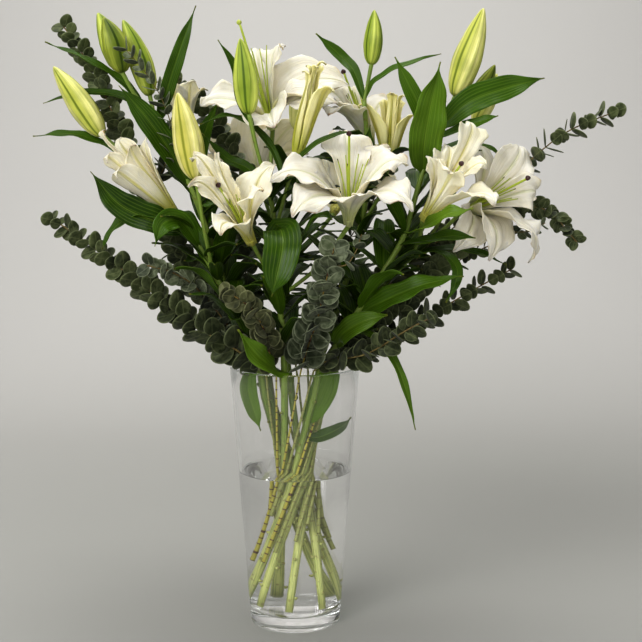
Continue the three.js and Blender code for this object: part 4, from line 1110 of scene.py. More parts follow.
# Each stem: name, angle of its neck, points above the neck, then its stalks: two points and the flower.
stems = [
    ["lily_stem_left", 154,
      [[-60, 16, 340], [-82, 8, 400], [-98, 0, 452], [-117, 0, 503], [-150, 8, 565], [-168, 12, 591]],
      [[[-167, 11, 589], [-180, 4, 608], "bud_upper_left_front"],
        [[-165, 11, 586], [-184, 24, 612], "bud_upper_left_back"],
        [[-150, 8, 565], [-158, 16, 584], "bud_upper_left_inner"],
        [[-112, 0, 492], [-122, 16, 520], "lily_back_left"]]],
    ["lily_stem_far_left", 206,
      [[-60, -28, 345], [-84, -35, 400], [-104, -32, 436], [-116, -26, 452]],
      [[[-114, -26, 450], [-152, 12, 502], "bud_left"],
        [[-112, -28, 446], [-122, -26, 460], "lily_left"],
        [[-90, -35, 412], [-98, -46, 460], "bud_pale_left"]]],
    ["lily_stem_centre", 257,
      [[-12, -40, 340], [-18, -32, 390], [-21, -26, 440], [-23, -24, 475], [-29, -27, 505]],
      [[[-28, -27, 502], [-39, -35, 540], "bud_centre_left"],
        [[-21, -25, 452], [-8, -36, 500], "lily_half_open_centre"],
        [[-24, -24, 480], [-26, -5, 525], "lily_top"],
        [[-18, -31, 395], [-30, -44, 414], "lily_front_left"],
        [[-17, -34, 380], [30, -54, 420], "lily_front"]]],
    ["lily_stem_right", 309,
      [[50, -41, 334], [88, -37, 392], [121, -32, 448], [132, -30, 485], [145, -26, 528], [158, -21, 562]],
      [[[157, -21, 560], [169, -20, 583], "bud_upper_right"],
        [[156, -21, 558], [180, -8, 580], "bud_upper_right_small"]]],
    ["lily_stem_far_right", 0,
      [[68, 0, 345], [105, 0, 396], [136, -6, 428], [156, -4, 447]],
      [[[153, -4, 444], [172, 0, 458], "lily_far_right"],
        [[130, -5, 422], [138, -34, 446], "lily_right"],
        [[152, -4, 443], [184, 24, 500], "bud_far_right_back"]]],
    ["lily_stem_inner", 51,
      [[45, 48, 345], [62, 55, 400], [76, 46, 455], [84, 38, 505], [82, 32, 560], [79, 30, 600]],
      [[[79, 30, 597], [83, 30, 618], "bud_top"],
        [[76, 46, 455], [98, 44, 492], "lily_half_open_right"],
        [[80, 42, 480], [86, 50, 515], "lily_behind"]]],
    ["lily_stem_back", 103,
      [[-15, 72, 360], [-12, 92, 420], [-4, 104, 470], [0, 112, 518]],
      [[[0, 111, 515], [2, 116, 545], "bud_back"],
        [[-12, 92, 420], [-30, 108, 462], "lily_rear_left"],
        [[-14, 86, 402], [18, 112, 434], "lily_rear_right"]]],
]

# Each leaf: its stem, its points, its width, and the way its face looks.
leaves = [
    ["lily_stem_left", [[-152, 8, 572], [-137, 4, 612], [-122, 4, 652], [-107, 8, 700]], 22, [0.5, -1, 0.2]],
    ["lily_stem_left", [[-168, 12, 590], [-192, 26, 622], [-230, 24, 650], [-269, 20, 671]],
      13, [0, -0.6, 1]],
    ["lily_stem_left", [[-158, 10, 575], [-190, 22, 602], [-240, 24, 608], [-284, 20, 596]],
      12, [0, -0.8, 1]],
    ["lily_stem_left", [[-118, 0, 504], [-140, -14, 545], [-165, -22, 580], [-193, -26, 612]],
      28, [0.4, -1, 0.1]],
    ["lily_stem_left", [[-100, 0, 456], [-112, 34, 500], [-104, 40, 560], [-86, 30, 600]],
      20, [-0.4, -1, 0.2]],
    ["lily_stem_far_left", [[-116, -28, 455], [-150, -46, 466], [-188, -52, 484], [-220, -46, 520]],
      34, [0.3, -1, 0.5]],
    ["lily_stem_far_left", [[-112, -30, 448], [-142, -36, 470], [-172, -44, 474], [-196, -50, 458],
      [-209, -52, 436]], 19, [0.1, -0.6, 1]],
    ["lily_stem_far_left", [[-104, -33, 438], [-124, -56, 468], [-140, -66, 464], [-148, -72, 440]],
      24, [0.2, -1, 0.5]],
    ["lily_stem_far_left", [[-158, 12, 509], [-196, 2, 546], [-240, -6, 570], [-282, -10, 574]],
      13, [0, -0.5, 1]],
    ["lily_stem_centre", [[-10, -44, 298], [-22, -61, 304], [-46, -82, 322], [-72, -92, 350]],
      28, [-0.2, -0.8, 0.6]],
    ["lily_stem_far_left", [[-44, -21, 306], [-52, -25, 284], [-46, -24, 254], [-38, -20, 228]],
      18, [0.4, -1, 0]],
    ["lily_stem_centre", [[-8, -36, 502], [-24, -20, 545], [-50, -12, 573], [-76, -14, 581],
      [-104, -16, 571]], 10, [0, -0.5, 1]],
    ["lily_stem_centre", [[-26, -26, 492], [-50, -16, 522], [-74, -12, 534], [-102, -8, 562]],
      13, [0, -1, 0.6]],
    ["lily_stem_centre", [[-25, -26, 488], [-6, -58, 522], [34, -76, 554], [68, -78, 564]], 12, [0, -0.6, 1]],
    ["lily_stem_centre", [[-21, -28, 430], [-14, -66, 458], [-10, -98, 444], [-16, -110, 412],
      [-22, -110, 390]], 40, [0, -1, 0.5]],
    ["lily_stem_centre", [[-20, -28, 420], [10, -52, 452], [30, -74, 474], [42, -92, 470]], 16, [0, -0.6, 1]],
    ["lily_stem_inner", [[79, 31, 600], [92, 24, 622], [122, 20, 638], [165, 20, 651]], 12, [0, -0.5, 1]],
    ["lily_stem_inner", [[84, 36, 506], [80, 8, 524], [80, -18, 545], [84, -26, 570]], 20, [0, -1, -0.3]],
    ["lily_stem_inner", [[79, 30, 599], [66, 46, 636], [46, 54, 657], [24, 52, 676]], 14, [0.4, -1, 0.2]],
    ["lily_stem_right", [[148, -24, 540], [142, -28, 578], [126, -32, 612], [110, -32, 643]],
      19, [-0.4, -1, 0.2]],
    ["lily_stem_right", [[142, -27, 518], [142, -44, 548], [148, -52, 590], [158, -54, 636]],
      38, [0.1, -1, -0.1]],
    ["lily_stem_right", [[160, -22, 566], [190, -30, 594], [232, -30, 610], [274, -24, 621]],
      30, [0, -1, 0.3]],
    ["lily_stem_right", [[156, -21, 556], [182, -30, 566], [204, -36, 574], [222, -40, 580]],
      15, [0, -0.8, 1]],
    ["lily_stem_right", [[146, -26, 530], [180, -18, 548], [214, -14, 544], [240, -18, 522]],
      13, [0, -0.5, 1]],
    ["lily_stem_right", [[124, -32, 452], [134, -76, 458], [162, -104, 476], [188, -114, 482]],
      21, [0, -0.7, 1]],
    ["lily_stem_right", [[116, -33, 440], [142, -62, 446], [170, -80, 452], [194, -86, 450]],
      18, [0, -0.7, 1]],
    ["lily_stem_right", [[68, -39, 362], [96, -52, 378], [138, -62, 397], [184, -68, 408]], 28, [0, -1, 0.8]],
    ["lily_stem_right", [[46, -41, 327], [54, -60, 344], [78, -70, 360], [102, -74, 366]],
      24, [0.2, -1, 0.7]],
    ["lily_stem_right", [[52, -41, 337], [80, -56, 344], [106, -72, 322], [122, -82, 285], [132, -88, 243]],
      11, [0.3, -0.5, 1]],
    ["lily_stem_right", [[12, -23, 236], [26, -30, 262], [38, -36, 290], [48, -44, 316]], 28, [0, -1, 0.2]],
    ["lily_stem_far_right", [[138, -6, 430], [172, -12, 434], [206, -14, 430], [238, -16, 416]],
      13, [0, -0.5, 1]],
    ["lily_stem_far_right", [[134, -6, 426], [160, -32, 432], [178, -50, 416], [176, -58, 398],
      [166, -60, 378]], 13, [0.3, -0.6, 1]],
]

# Leaves set by rule round each stem: how many, between which heights.
leafRounds = [
    ["lily_stem_left", 3, 345, 480], ["lily_stem_far_left", 3, 345, 430], ["lily_stem_centre", 3, 345, 450],
    ["lily_stem_right", 3, 350, 470], ["lily_stem_far_right", 4, 340, 420], ["lily_stem_inner", 5, 345, 500],
    ["lily_stem_back", 6, 345, 490],
]

bundle = {"waistZ": 154, "waistRadius": 11.6, "slope": 0.306, "footZ": 23, "neckZ": 300, "radius": 3.9}
stemForm = {"sides": 16, "bareSteps": 12, "leafySteps": 40, "swell": 0.25, "topRadius": 2.6, "knots": 0.03,
            "stalkSides": 12, "stalkSteps": 15, "stalkRadius": 2.1, "stalkFlare": 0.5}
seatGaps = {"bloom": 2.6, "bud": 0.6}
leafForm = {"across": 16, "along": 30, "fold": 0.28, "ripple": 1.6, "rippleLength": 34, "thickness": 0.7,
            "pleats": 7, "pleatDepth": 0.16, "keel": 0.6, "keelWidth": 0.09, "twist": 22, "darkest": 0.3,
            "paintedShadeTone": 0.25, "paintedLightTo": (300, 390), "paintedLightShare": 0.6}
scarForm = {"highest": 285, "between": (13, 24), "reach": 1.9, "radius": 1.7, "sunk": 0.6, "rise": 0.5}
goldenAngle = math.radians(137.5)
filler = {"length": 78, "longer": 34, "width": 17, "wider": 9, "rise": 0.75, "steeper": 0.35, "seed": 11}
fillerLine = [(0, 0), (0.24, 0.3), (0.54, 0.55), (0.8, 0.58)]


def numbersFrom(start):
    # the same run of numbers every time, from a start number
    state = start
    while True:
        state = (state * 1664525 + 1013904223) % 4294967296
        yield state / 4294967296


def seatOf(flower):
    # where a stalk ends under its flower
    bloom = next((one for one in blooms if one[0] == flower), None)
    if bloom:
        along = Vector(bloom[2]).normalized()
        return Vector(bloom[1]) - along * seatGaps["bloom"]
    bud = next(one for one in buds if one[0] == flower)
    along = (Vector(bud[2]) - Vector(bud[1])).normalized()
    return Vector(bud[1]) + along * seatGaps["bud"]


def leafLine(points, facing, bend):
    # the points of a leaf, moved further the nearer they are to its tip
    along = Vector(points[-1]) - Vector(points[0])
    side = along.cross(facing).normalized()
    out = side.cross(along).normalized()
    move = (out * bend[0] + side * bend[1]) * (along.length * bendShare)
    last = len(points) - 1
    return [Vector(point) + move * (i / last) ** 1.3 for i, point in enumerate(points)]


# Leaves lighter or darker than chance makes them, by their tip: tone, and how much painted light makes them
# paler.
leafTones = {(188, -114, 482): (1.0, 0.9), (158, -54, 636): (1.0, 0.55), (110, -32, 643): (0.9, 0.2),
             (-220, -46, 520): (0.1, 0.0)}


def leafPiece(blank, points, width, facing, bend, chance, isShaded):
    line = lineThrough(leafLine(points, facing, bend))
    waves = line["length"] / leafForm["rippleLength"]
    height = leafForm["ripple"] * chance.uniform(0.5, 1.3) * min(width / 20, 1.4)
    phase, otherPhase = chance.uniform(0, 6.3), chance.uniform(0, 6.3)
    twist = math.radians(chance.uniform(-leafForm["twist"], leafForm["twist"]))
    tone = chance.random()
    # leaves in shade get only the darkest tones: painted shade
    tone = tone * leafForm["paintedShadeTone"] if isShaded else mixed(leafForm["darkest"], 1, tone)
    start = line["at"](0)
    # front leaves lower down are painted paler: painted light, as if lit from the front
    isPaintedLit = start.y < 0 and not isShaded
    paintedLight = (1 - smooth(*leafForm["paintedLightTo"], start.z)) * (leafForm["paintedLightShare"] if isPaintedLit else 0)
    tone, paintedLight = leafTones.get(tuple(points[-1]), (tone, paintedLight))
    rows = {}

    def rowAt(along):
        if along not in rows:
            heading = line["heading"](along)
            side = heading.cross(facing).normalized()
            side.rotate(Matrix.Rotation(twist * smooth(0.2, 1, along), 3, heading))
            profile = math.sin(math.pi * (0.86 * along + 0.1)) ** 0.8
            profile *= (1 - smooth(0.72, 1.02, along) ** 1.3) * mixed(0.4, 1, smooth(0, 0.12, along))
            rows[along] = line["at"](along), side, side.cross(heading), max(profile * width / 2, 0.25)
        return rows[along]

    def place(across, along):
        point, side, up, half = rowAt(along)
        lift = leafForm["fold"] * half * abs(across) ** 1.2
        lift += (height * smooth(0.1, 0.4, along) * across * across
                 * math.sin(2 * math.pi * waves * along + (phase if across > 0 else otherPhase)))
        lift += leafForm["pleatDepth"] * min(half / 8, 1.2) * math.cos(leafForm["pleats"] * math.pi * across)
        lift -= leafForm["keel"] * math.exp(-(across / leafForm["keelWidth"]) ** 2) * (1 - 0.6 * along)
        return point + side * (half * across) + up * lift

    return shapedCopy(blank, place, lambda across, along: ((across + 1) / 2, along, tone, paintedLight))


# Leaves that pass too near others to be solids.
extraLeaves = [
    ["lily_stem_left", [[-152, 4, 572], [-141, -10, 606], [-125, -13, 652], [-107, -10, 700]],
      17, [0.5, -1, 0.2]],
    ["lily_stem_centre", [[-42, -32, 566], [-58, -26, 596], [-64, -24, 632], [-82, -26, 662]],
      11, [0.3, -1, 0.4]],
    ["lily_stem_right", [[14, -20, 220], [28, -26, 222], [46, -31, 231], [64, -31, 245]], 15, [0, -1, 0.9]],
]
# leaves that start lower than this are painted darker, as painted shade
shadedBelow = 230
leafSheet = blankSheet("leaf sheet", leafForm["across"], leafForm["along"])
leafSkin = lilyLeaf("lily leaf", "#122802", "#476B0B", "#809A34", 9)
stemSkin = lilyStem()


def ruledBlade(form, start, turn, numbers):
    # a leaf set by rule: its points, its width and the way its face looks
    length = form["length"] + form["longer"] * next(numbers)
    rise = form["rise"] + form["steeper"] * next(numbers)
    width = form["width"] + form["wider"] * next(numbers)
    out = Vector((math.cos(turn), math.sin(turn), 0))
    places = [start + out * (far * length) + Vector((0, 0, high * rise * length)) for far, high in fillerLine]
    return places, width, Vector((-out.x * 0.4, -out.y * 0.4, 1))


def fillerLeaves(neckAngle, curve, count, lowest, highest):
    line = [curve["at"](i / 60) for i in range(61)]
    numbers = numbersFrom(neckAngle + filler["seed"])
    found = []
    for k in range(count):
        height = mixed(lowest, highest, (k + 0.5) / count)
        start = min(line, key=lambda point: abs(point.z - height))
        found.append(ruledBlade(filler, start, goldenAngle * k + math.radians(neckAngle), numbers))
    return found


# for rays that test whether a new leaf would pass the solids
solidTrees = {node: BVHTree.FromPolygons([vertex.co for vertex in body.data.vertices],
                                         [face.vertices for face in body.data.polygons])
              for node, body in frame["nodes"].items()}
innerForm = {"lowest": 328, "step": 9, "length": 54, "longer": 40, "width": 15, "wider": 12, "rise": 0.35,
             "steeper": 0.75, "across": 8, "along": 14}
innerTops = {"lily_stem_left": 500, "lily_stem_far_left": 446, "lily_stem_centre": 492,
             "lily_stem_right": 520, "lily_stem_far_right": 436, "lily_stem_inner": 540,
             "lily_stem_back": 512}
innerSheet = blankSheet("inner sheet", innerForm["across"], innerForm["along"])


def isFree(name, points, half):
    # whether a blade of this line and half width would pass every other node's solid
    others = [tree for node, tree in solidTrees.items() if node != name]
    for i, (start, end) in enumerate(zip(points, points[1:])):
        span = end - start
        heading = span.normalized()
        side = heading.cross(Vector((0, 0, 1))).normalized()
        side *= half * math.sin(math.pi * (i + 0.7) / len(points))
        for shift in (Vector(), side, -side):
            if any(tree.ray_cast((start + shift) * mm, heading, span.length * mm)[0] for tree in others):
                return False
    return True


def innerLeaves(name, neckAngle, curve, chance):
    # the crowded lower leaves, set wherever the solids leave room
    line = [curve["at"](i / 80) for i in range(81)]
    numbers = iter(chance.random, None)
    found = []
    height = innerForm["lowest"]
    turn = math.radians(neckAngle) + 0.8
    while height < innerTops[name]:
        start = min(line, key=lambda point: abs(point.z - height))
        for tries in range(3):
            blade = ruledBlade(innerForm, start, turn + tries, numbers)
            if name == "lily_stem_right" and math.sin(turn + tries) < -0.2:
                continue  # its front is bare
            curved = lineThrough(blade[0])
            if isFree(name, [curved["at"](0.06 + 0.94 * i / 7) for i in range(8)], blade[1] / 2):
                found.append(blade)
                break
        height += innerForm["step"]
        turn += goldenAngle
    return found


def stemBars(foot, neck, curve, stalks, chance):
    # the stem, the scars of the leaves that were stripped off, and the flowers' stalks
    bare, leafy = stemForm["bareSteps"], stemForm["leafySteps"]
    line = [foot.lerp(neck, i / bare) for i in range(bare)]
    line += [curve["at"](curve["even"](i / leafy)) for i in range(leafy + 1)]

    def radiusAt(share):
        row = share * (bare + leafy)
        thinned = (row / bare if row < bare else 1 + 8 * (row - bare) / leafy) / 9
        radius = mixed(bundle["radius"] + stemForm["swell"], stemForm["topRadius"], thinned)
        return radius * (1 + stemForm["knots"] * math.sin(row * 1.9))

    bars = [tube(stemForm["sides"], line, radiusAt, chance=chance.random(),
                 lobes=lambda turn, share: 1 + stemForm["knots"] * math.cos(5 * turn))]
    height = bundle["footZ"] + chance.uniform(8, 20)
    turn = chance.uniform(0, 6.3)
    upward = (neck - foot).normalized()
    while height < scarForm["highest"]:
        # each scar is a small shelf
        middle = foot.lerp(neck, (height - foot.z) / (neck.z - foot.z))
        out = upward.orthogonal()
        out.rotate(Matrix.Rotation(turn, 3, upward))
        scarLine = [middle + out * (bundle["radius"] - scarForm["sunk"] + scarForm["reach"] * i / 3)
                    + upward * (scarForm["rise"] * i) for i in range(4)]
        bars.append(tube(8, scarLine, lambda share: scarForm["radius"] * (1.15 - 0.65 * share * share),
                         mark=lambda share: smooth(0.3, 1, share)))
        height += chance.uniform(*scarForm["between"])
        turn += goldenAngle
    steps = stemForm["stalkSteps"]
    for start, through, flower in stalks:
        stalk = lineThrough([start, through, seatOf(flower)])
        stalkLine = [stalk["at"](stalk["even"](i / steps)) for i in range(steps + 1)]
        bars.append(tube(stemForm["stalkSides"], stalkLine,
                         lambda share: stemForm["stalkRadius"] + stemForm["stalkFlare"] * share ** 3,
                         chance=chance.random()))
    return bars


def makeStem(name, neckAngle, points, stalks):
    chance = random.Random(name)
    tree = cornersOf(name)
    foot = bundlePoint(neckAngle, bundle["footZ"], bundle)
    neck = bundlePoint(neckAngle, bundle["neckZ"], bundle)
    curve = lineThrough([neck] + points)
    stem = sewnUp(joined(name + "_bars", stemBars(foot, neck, curve, stalks, chance)))
    stem.data.materials.append(stemSkin)
    wanted = [(places, width, Vector(facing)) for node, places, width, facing in leaves if node == name]
    for node, count, lowest, highest in leafRounds:
        if node == name:
            wanted += fillerLeaves(neckAngle, curve, count, lowest, highest)
    extras = [(places, width, Vector(facing)) for node, places, width, facing in extraLeaves if node == name]
    blades = []
    for places, width, facing in wanted + extras:
        isExtra = any(places is extra[0] for extra in extras)
        bend = (0, 0) if isExtra else foundBend(tree, lambda bend: [leafLine(places, facing, bend)[-1]])
        if bend is None:
            print("left out: a leaf of", name, [round(v) for v in places[0]])
            continue
        blades.append(leafPiece(leafSheet, places, width, facing, bend, chance, places[0][2] < shadedBelow))
    for places, width, facing in innerLeaves(name, neckAngle, curve, chance):
        # the inner leaves are all painted as in shade, with the darkest tones
        blades.append(leafPiece(innerSheet, places, width, facing, (0, 0), chance, True))
    foliage = thickened(joined(name + "_leaves", blades), leafForm["thickness"])
    foliage.data.materials.append(leafSkin)
    dress(joined(name + "_leafy", [foliage, stem]), name)


for stem in stems:
    makeStem(*stem)
print("stems and leaves ready")


# Eucalyptus sprays

# Each spray: name, angle of its neck, height of its cut end, points above the neck,
# first and last leaf length, distance between pairs, share of the twig below the leaves.
sprays = [
    ["eucalyptus_upper_left", 176, 118, [[-80, 0, 345], [-122, 12, 412], [-166, 26, 492], [-202, 32, 572],
      [-230, 30, 636], [-262, 30, 684]], 21, 14, 17, 0.42],
    ["eucalyptus_left", 228, 96, [[-62, -40, 322], [-90, -44, 338], [-132, -44, 369], [-176, -42, 403],
      [-222, -36, 438], [-268, -30, 469]], 26, 15, 18, 0.08],
    ["eucalyptus_left_pale", 194, 132, [[-70, -8, 338], [-98, -20, 378], [-124, -60, 408], [-156, -76, 420]],
      19, 14, 17, 0.3],
    ["eucalyptus_front_low", 246, 128, [[-28, -58, 328], [-32, -78, 352], [-46, -94, 378], [-70, -100, 394]],
      19, 14, 14, 0.25],
    ["eucalyptus_front", 279, 70, [[15, -63, 328], [26, -86, 362], [34, -102, 400], [44, -112, 442]],
      23, 16, 13, 0.04],
    ["eucalyptus_right_high", 22, 104, [[92, 30, 372], [166, 34, 440], [228, 20, 496], [280, 4, 545],
      [318, 0, 571], [361, 0, 587]], 21, 15, 17, 0.52],
    ["eucalyptus_right", 349, 90, [[90, -8, 336], [155, 20, 400], [212, 34, 458], [259, 28, 482],
      [296, 16, 470], [320, 6, 440]], 16, 11, 14, 0.5],
    ["eucalyptus_right_low", 331, 76, [[68, -22, 312], [98, -12, 325], [156, 2, 358], [205, 8, 386],
      [247, 8, 409]], 21, 14, 17, 0.3],
    ["eucalyptus_right_back", 40, 122, [[66, 56, 336], [122, 66, 376], [170, 60, 402], [205, 58, 422],
      [242, 60, 438]], 21, 13, 19, 0.25],
    ["eucalyptus_front_right", 297, 130, [[34, -54, 312], [72, -66, 320], [96, -82, 334], [116, -96, 350],
      [144, -104, 366]], 20, 15, 17, 0.25],
    ["eucalyptus_back_left", 143, 84, [[-56, 56, 372], [-62, 76, 450], [-62, 78, 515], [-82, 80, 550],
      [-105, 78, 590], [-137, 68, 622]], 22, 17, 19, 0.35],
    ["eucalyptus_inner", 91, 126, [[24, 70, 350], [48, 90, 410], [84, 92, 470], [112, 86, 520]],
      21, 15, 24, 0.2],
    ["eucalyptus_rear_left", 125, 100, [[-54, 92, 350], [-104, 130, 392], [-158, 150, 420]], 23, 15, 24, 0.2],
    ["eucalyptus_rear_right", 73, 110, [[60, 104, 356], [124, 136, 408], [178, 148, 446]], 23, 15, 24, 0.2],
]

twigBundle = {"waistZ": 165, "waistRadius": 20, "slope": 0.325, "neckZ": 300, "radius": 2.1, "tipRadius": 0.9}
twigForm = {"sides": 8, "foot": 2.0, "top": 0.75, "bareStep": 1.6, "leafyStep": 2.6, "rings": (7, 13),
            "ringSwell": 0.1, "jointReach": 1.6, "ringReach": 0.85}
sprayForm = {"leafFoot": 1.2, "leafRoot": 1.2, "lastPairAt": 0.985, "bareStep": 60, "lean": 0.6,
             "leanStep": 0.22, "turnStep": 0.25, "thickness": 0.6, "grown": 1.06, "clear": 2,
             "between": 0.86, "belowStep": 0.8, "lowest": 304, "sway": 0.2, "leanMore": (-0.15, 0.45),
             "turn": 0.8, "openTurn": 0.12}
discForm = {"cup": 0.12, "cupSpread": (-0.6, 1.4), "roll": 0.18, "stretch": 0.06, "point": 0.05,
            "keel": 0.06, "egg": 0.08, "paintedShadeBelow": (300, 440), "paintedShadeLeast": 0.1}
fuller = {"eucalyptus_right": 1.35, "eucalyptus_front": 1.25, "eucalyptus_front_low": 1.25,
          "eucalyptus_left": 0.95}
# How far the leaves of a spray turn to show a face towards -Y, from 0 to 1.
showing = {"eucalyptus_front": 0.7, "eucalyptus_front_low": 0.7, "eucalyptus_left_pale": 0.6,
           "eucalyptus_left": 0.45, "eucalyptus_right": 0.6, "eucalyptus_right_low": 0.25,
           "eucalyptus_back_left": 0.4, "eucalyptus_upper_left": 0.5, "eucalyptus_front_right": 0.5}
openSprays = ["eucalyptus_right_high", "eucalyptus_right_low"]
bandedTwigs = ["eucalyptus_front", "eucalyptus_front_low", "eucalyptus_right_low"]
discSheet = blankSheet("disc sheet", 6, 6)
twigSkin = twigBark()
eucalyptusSkins = {
    "dark": eucalyptusLeaf("eucalyptus leaf", "#202812", "#48532D", "#737B53"),
    "dusty": eucalyptusLeaf("dusty eucalyptus leaf", "#242D19", "#525C3E", "#888F73"),
    "olive": eucalyptusLeaf("olive eucalyptus leaf", "#262B13", "#545832", "#7F815A"),
}
sprayTones = {"eucalyptus_front": "dusty", "eucalyptus_front_low": "olive", "eucalyptus_left_pale": "dusty"}


def discPoint(across, along):
    # a square sheet drawn out to a disc
    a, b = across, 2 * along - 1
    return a * math.sqrt(1 - b * b / 2), b * math.sqrt(1 - a * a / 2)


def roundLeaf(root, spine, side, length, chance, turn=0.3, shown=0, slim=1):
    side = side.copy()
    side.rotate(Matrix.Rotation(chance.uniform(-turn, turn), 3, spine))
    up = side.cross(spine)
    angle = math.atan2(spine.dot(up.cross(frontward)), up.dot(frontward))
    # either face will do, so the nearer one turns
    angle -= math.pi * round(angle / math.pi)
    side.rotate(Matrix.Rotation(angle * shown, 3, spine))
    up = side.cross(spine).normalized()
    # the low leaves are painted darkest, as painted shade
    tone = chance.random() * mixed(discForm["paintedShadeLeast"], 1, smooth(*discForm["paintedShadeBelow"], root.z))
    cup = discForm["cup"] * chance.uniform(*discForm["cupSpread"])
    roll = chance.uniform(-discForm["roll"], discForm["roll"])
    stretch = chance.uniform(1 - discForm["stretch"], 1 + discForm["stretch"])

    def place(across, along):
        x, y = discPoint(across, along)
        far = (0.5 + 0.5 * y * stretch + discForm["point"] * max(y, 0) ** 4) * length
        wide = x * 0.5 * length * slim * (1 - discForm["egg"] * y)
        lift = (cup * (x * x + y * y) - discForm["keel"] * (1 - abs(x)) + roll * x) * length * 0.5
        return root + spine * far + side * wide + up * lift

    def look(across, along):
        x, y = discPoint(across, along)
        return (x + 1) / 2, along, tone, math.hypot(x, y)

    return shapedCopy(discSheet, place, look)


def leaning(outward, along, lean):
    return outward * math.cos(lean) + along * math.sin(lean)


def swayed(point, along, quarters, form, chance):
    # a leaf at some quarters of a turn round a twig: its root, its spine's way and the way across it
    outward = along.cross(crossways).normalized()
    sway = chance.uniform(-form["sway"], form["sway"])
    outward.rotate(Matrix.Rotation(math.pi / 4 + math.pi / 2 * quarters + sway, 3, along))
    spine = leaning(outward, along, sprayForm["lean"] + chance.uniform(*form["leanMore"])).normalized()
    return point + outward * form["leafRoot"], spine, along.cross(outward).normalized()


def pairLeaves(name, curve, count, startShare, firstLength, lastLength, chance):
    # the leaves of the solid, and the joints that they stand on
    tree = cornersOf(name)
    bareSteps = max(1, round(curve["length"] * startShare / sprayForm["bareStep"] + 1e-9))
    stations = 1 + bareSteps + 2 * (count + 1)
    blades = []
    joints = []
    for pair in range(count + 1):
        t = curve["even"](startShare + (1 - startShare) * pair / count * sprayForm["lastPairAt"])
        along, point = curve["heading"](t), curve["at"](t)
        joints.append(point)
        side = along.cross(crossways).normalized()
        other = side.cross(along)
        length = mixed(firstLength, lastLength, pair / count)
        # the solid's twig has four sides, and its leaves stand on them
        station = 1 + bareSteps + 2 * pair
        ends = []
        for step, shift in ((station, -sprayForm["leafFoot"]), (station + 1, sprayForm["leafFoot"])):
            radius = mixed(twigBundle["radius"], twigBundle["tipRadius"], step / (stations - 1))
            turns = [math.pi / 4 + math.pi * k / 2 for k in range(4)]
            ends.append([point + along * shift + side * (radius * math.cos(turn))
                         + other * (radius * math.sin(turn)) for turn in turns])
        for k in (1, 3) if pair % 2 else (0, 2):
            a, b = ends[0][k], ends[0][(k + 1) % 4]
            c, d = ends[1][(k + 1) % 4], ends[1][k]
            root = (a + b + c + d) / 4
            level = (b - a).normalized()
            outward = along.cross(level).normalized()

            def spineAt(bend):
                lean = sprayForm["lean"] + bend[0] * sprayForm["leanStep"]
                aside = level * (bend[1] * sprayForm["turnStep"])
                return (leaning(outward, along, lean) + aside).normalized()

            def rimAt(bend):
                rim = root + spineAt(bend) * (0.95 * length)
                return [rim + level * (wide * length / 2) for wide in (0.55, -0.55)]

            bend = foundBend(tree, rimAt)
            if bend is not None:
                blades.append(roundLeaf(root, spineAt(bend), level, length * sprayForm["grown"], chance,
                                        shown=showing.get(name, 0)))
    return blades, joints


def betweenLeaves(name, curve, count, startShare, firstLength, lastLength, chance):
    # pairs that the solids leave out, each turned an eighth from its neighbours, where there is room:
    # between the pairs of the solid, and on the twig below them
    others = [tree for node, tree in solidTrees.items() if node != name]
    step = (1 - startShare) / count
    shares = [startShare + (1 - startShare) * (pair + 0.5) / count * sprayForm["lastPairAt"]
              for pair in range(count)]
    below = startShare - step * sprayForm["belowStep"]
    while below > 0 and curve["at"](curve["even"](below)).z > sprayForm["lowest"]:
        shares.append(below)
        below -= step * sprayForm["belowStep"]
    found = []
    for pair, share in enumerate(shares):
        isBelow = share < startShare
        t = curve["even"](share)
        along, point = curve["heading"](t), curve["at"](t)
        length = mixed(firstLength, lastLength, 0 if isBelow else pair / count) * sprayForm["between"]
        length *= fuller.get(name, 1)
        turn = sprayForm["openTurn" if name in openSprays and not isBelow else "turn"]
        quarters = (0, 1, 2, 3) if isBelow else (0.5, 2.5) if pair % 2 else (1.5, 3.5)
        for k in quarters:
            root, spine, level = swayed(point, along, k, sprayForm, chance)
            clear = point + spine * sprayForm["clear"]
            starts = [clear + level * (wide * length) for wide in (0, -0.35, 0.35)]
            if any(tree.ray_cast(start * mm, spine, length * mm)[0] for tree in others for start in starts):
                continue
            found.append(roundLeaf(root, spine, level, length, chance, turn, showing.get(name, 0)))
    return found


# Small side twigs: the spray that carries each, its points, the length of its leaves and their slimness.
sideTwigs = [
    ["eucalyptus_upper_left", [[-166, 26, 492], [-148, 2, 520], [-134, -12, 556], [-146, -15, 600],
      [-163, -17, 628], [-185, -21, 654]], 20, 0.55],
    ["eucalyptus_front", [[40, -108, 422], [56, -116, 424], [66, -120, 438], [72, -120, 456]], 13, 1],
    ["eucalyptus_right", [[212, 34, 458], [240, 20, 452], [262, 4, 452], [282, -4, 462]], 12, 1],
]
sideForm = {"spacing": 9, "step": 3, "radius": 0.8, "tip": 0.45, "leafRoot": 0.4, "lengths": (1.1, 0.75),
            "sway": 0.25, "leanMore": (-0.2, 0.3)}


def sideTwig(branch):
    steps = round(branch["length"] / sideForm["step"])
    line = [branch["at"](branch["even"](i / steps)) for i in range(steps + 1)]
    return tube(6, line, lambda share: mixed(sideForm["radius"], sideForm["tip"], share))


def sideLeaves(branch, length, slim, chance):
    found = []
    count = round(branch["length"] / sideForm["spacing"])
    for pair in range(2, count):
        t = branch["even"](pair / (count - 0.5))
        along, point = branch["heading"](t), branch["at"](t)
        for k in (0, 2) if pair % 2 else (1, 3):
            root, spine, level = swayed(point, along, k, sideForm, chance)
            size = length * mixed(*sideForm["lengths"], pair / count)
            found.append(roundLeaf(root, spine, level, size, chance, slim=slim))
    return found


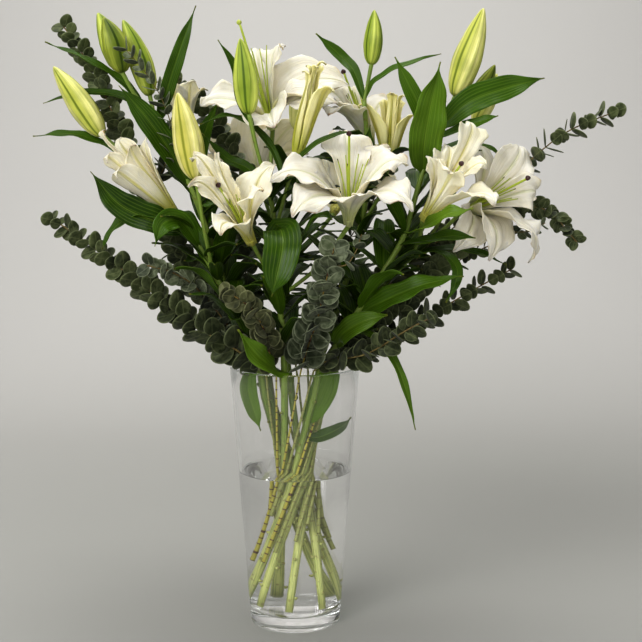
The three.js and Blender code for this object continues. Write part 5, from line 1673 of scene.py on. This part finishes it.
def ringedTwig(name, line, joints, chance):
    # brown rings at the joints of the leaves, and where older leaves fell off
    lengths = [0.0]
    for before, after in zip(line, line[1:]):
        lengths.append(lengths[-1] + (after - before).length)
    rings = [0.5]
    while rings[-1] < lengths[-1]:
        rings.append(rings[-1] + chance.uniform(*twigForm["rings"]))

    def ringMark(share):
        row = round(share * (len(line) - 1))
        isJoint = min((line[row] - joint).length for joint in joints) < twigForm["jointReach"]
        isRing = min(abs(lengths[row] - ring) for ring in rings) < twigForm["ringReach"]
        return 1.0 if isJoint or isRing else 0.0

    def radiusAt(share):
        radius = mixed(twigForm["foot"], twigForm["top"], min(share * 1.25, 1))
        return radius * (1 + twigForm["ringSwell"] * ringMark(share))

    tone = chance.random() * 0.5
    return tube(twigForm["sides"], line, radiusAt, chance=1.0 if name in bandedTwigs else tone,
                mark=ringMark)


def makeSpray(name, neckAngle, footZ, points, firstLength, lastLength, spacing, startShare):
    chance = random.Random(name)
    foot = bundlePoint(neckAngle, footZ, twigBundle)
    neck = bundlePoint(neckAngle, twigBundle["neckZ"], twigBundle)
    raw = lineThrough([neck] + points)
    curve = lineThrough([raw["at"](raw["even"](i / 7)) for i in range(8)])
    count = math.floor(curve["length"] * (1 - startShare) / spacing)
    blades, joints = pairLeaves(name, curve, count, startShare, firstLength, lastLength, chance)
    blades += betweenLeaves(name, curve, count, startShare, firstLength, lastLength, chance)
    bare = round((neck - foot).length / twigForm["bareStep"])
    leafy = round(curve["length"] / twigForm["leafyStep"])
    line = [foot.lerp(neck, i / bare) for i in range(bare)]
    line += [curve["at"](curve["even"](i / leafy)) for i in range(leafy + 1)]
    twigs = [ringedTwig(name, line, joints, chance)]
    sideBlades = []
    for carrier, places, length, slim in sideTwigs:
        if carrier == name:
            start = min(line, key=lambda point: (point - Vector(places[0])).length)
            branch = lineThrough([start] + places[1:])
            twigs.append(sideTwig(branch))
            sideBlades += sideLeaves(branch, length, slim, chance)
    twig = sewnUp(joined(name + "_twigs", twigs))
    twig.data.materials.append(twigSkin)
    foliage = thickened(joined(name + "_leaves", blades), sprayForm["thickness"])
    foliage.data.materials.append(eucalyptusSkins[sprayTones.get(name, "dark")])
    parts = [foliage, twig]
    if sideBlades:
        parts.append(thickened(joined(name + "_side_leaves", sideBlades), sprayForm["thickness"]))
        parts[-1].data.materials.append(eucalyptusSkins["dusty"])
    dress(joined(name + "_leafy", parts), name)


for spray in sprays:
    makeSpray(*spray)
print("eucalyptus ready")

for blank in blanks:
    bpy.data.objects.remove(blank)
print("all pieces ready")
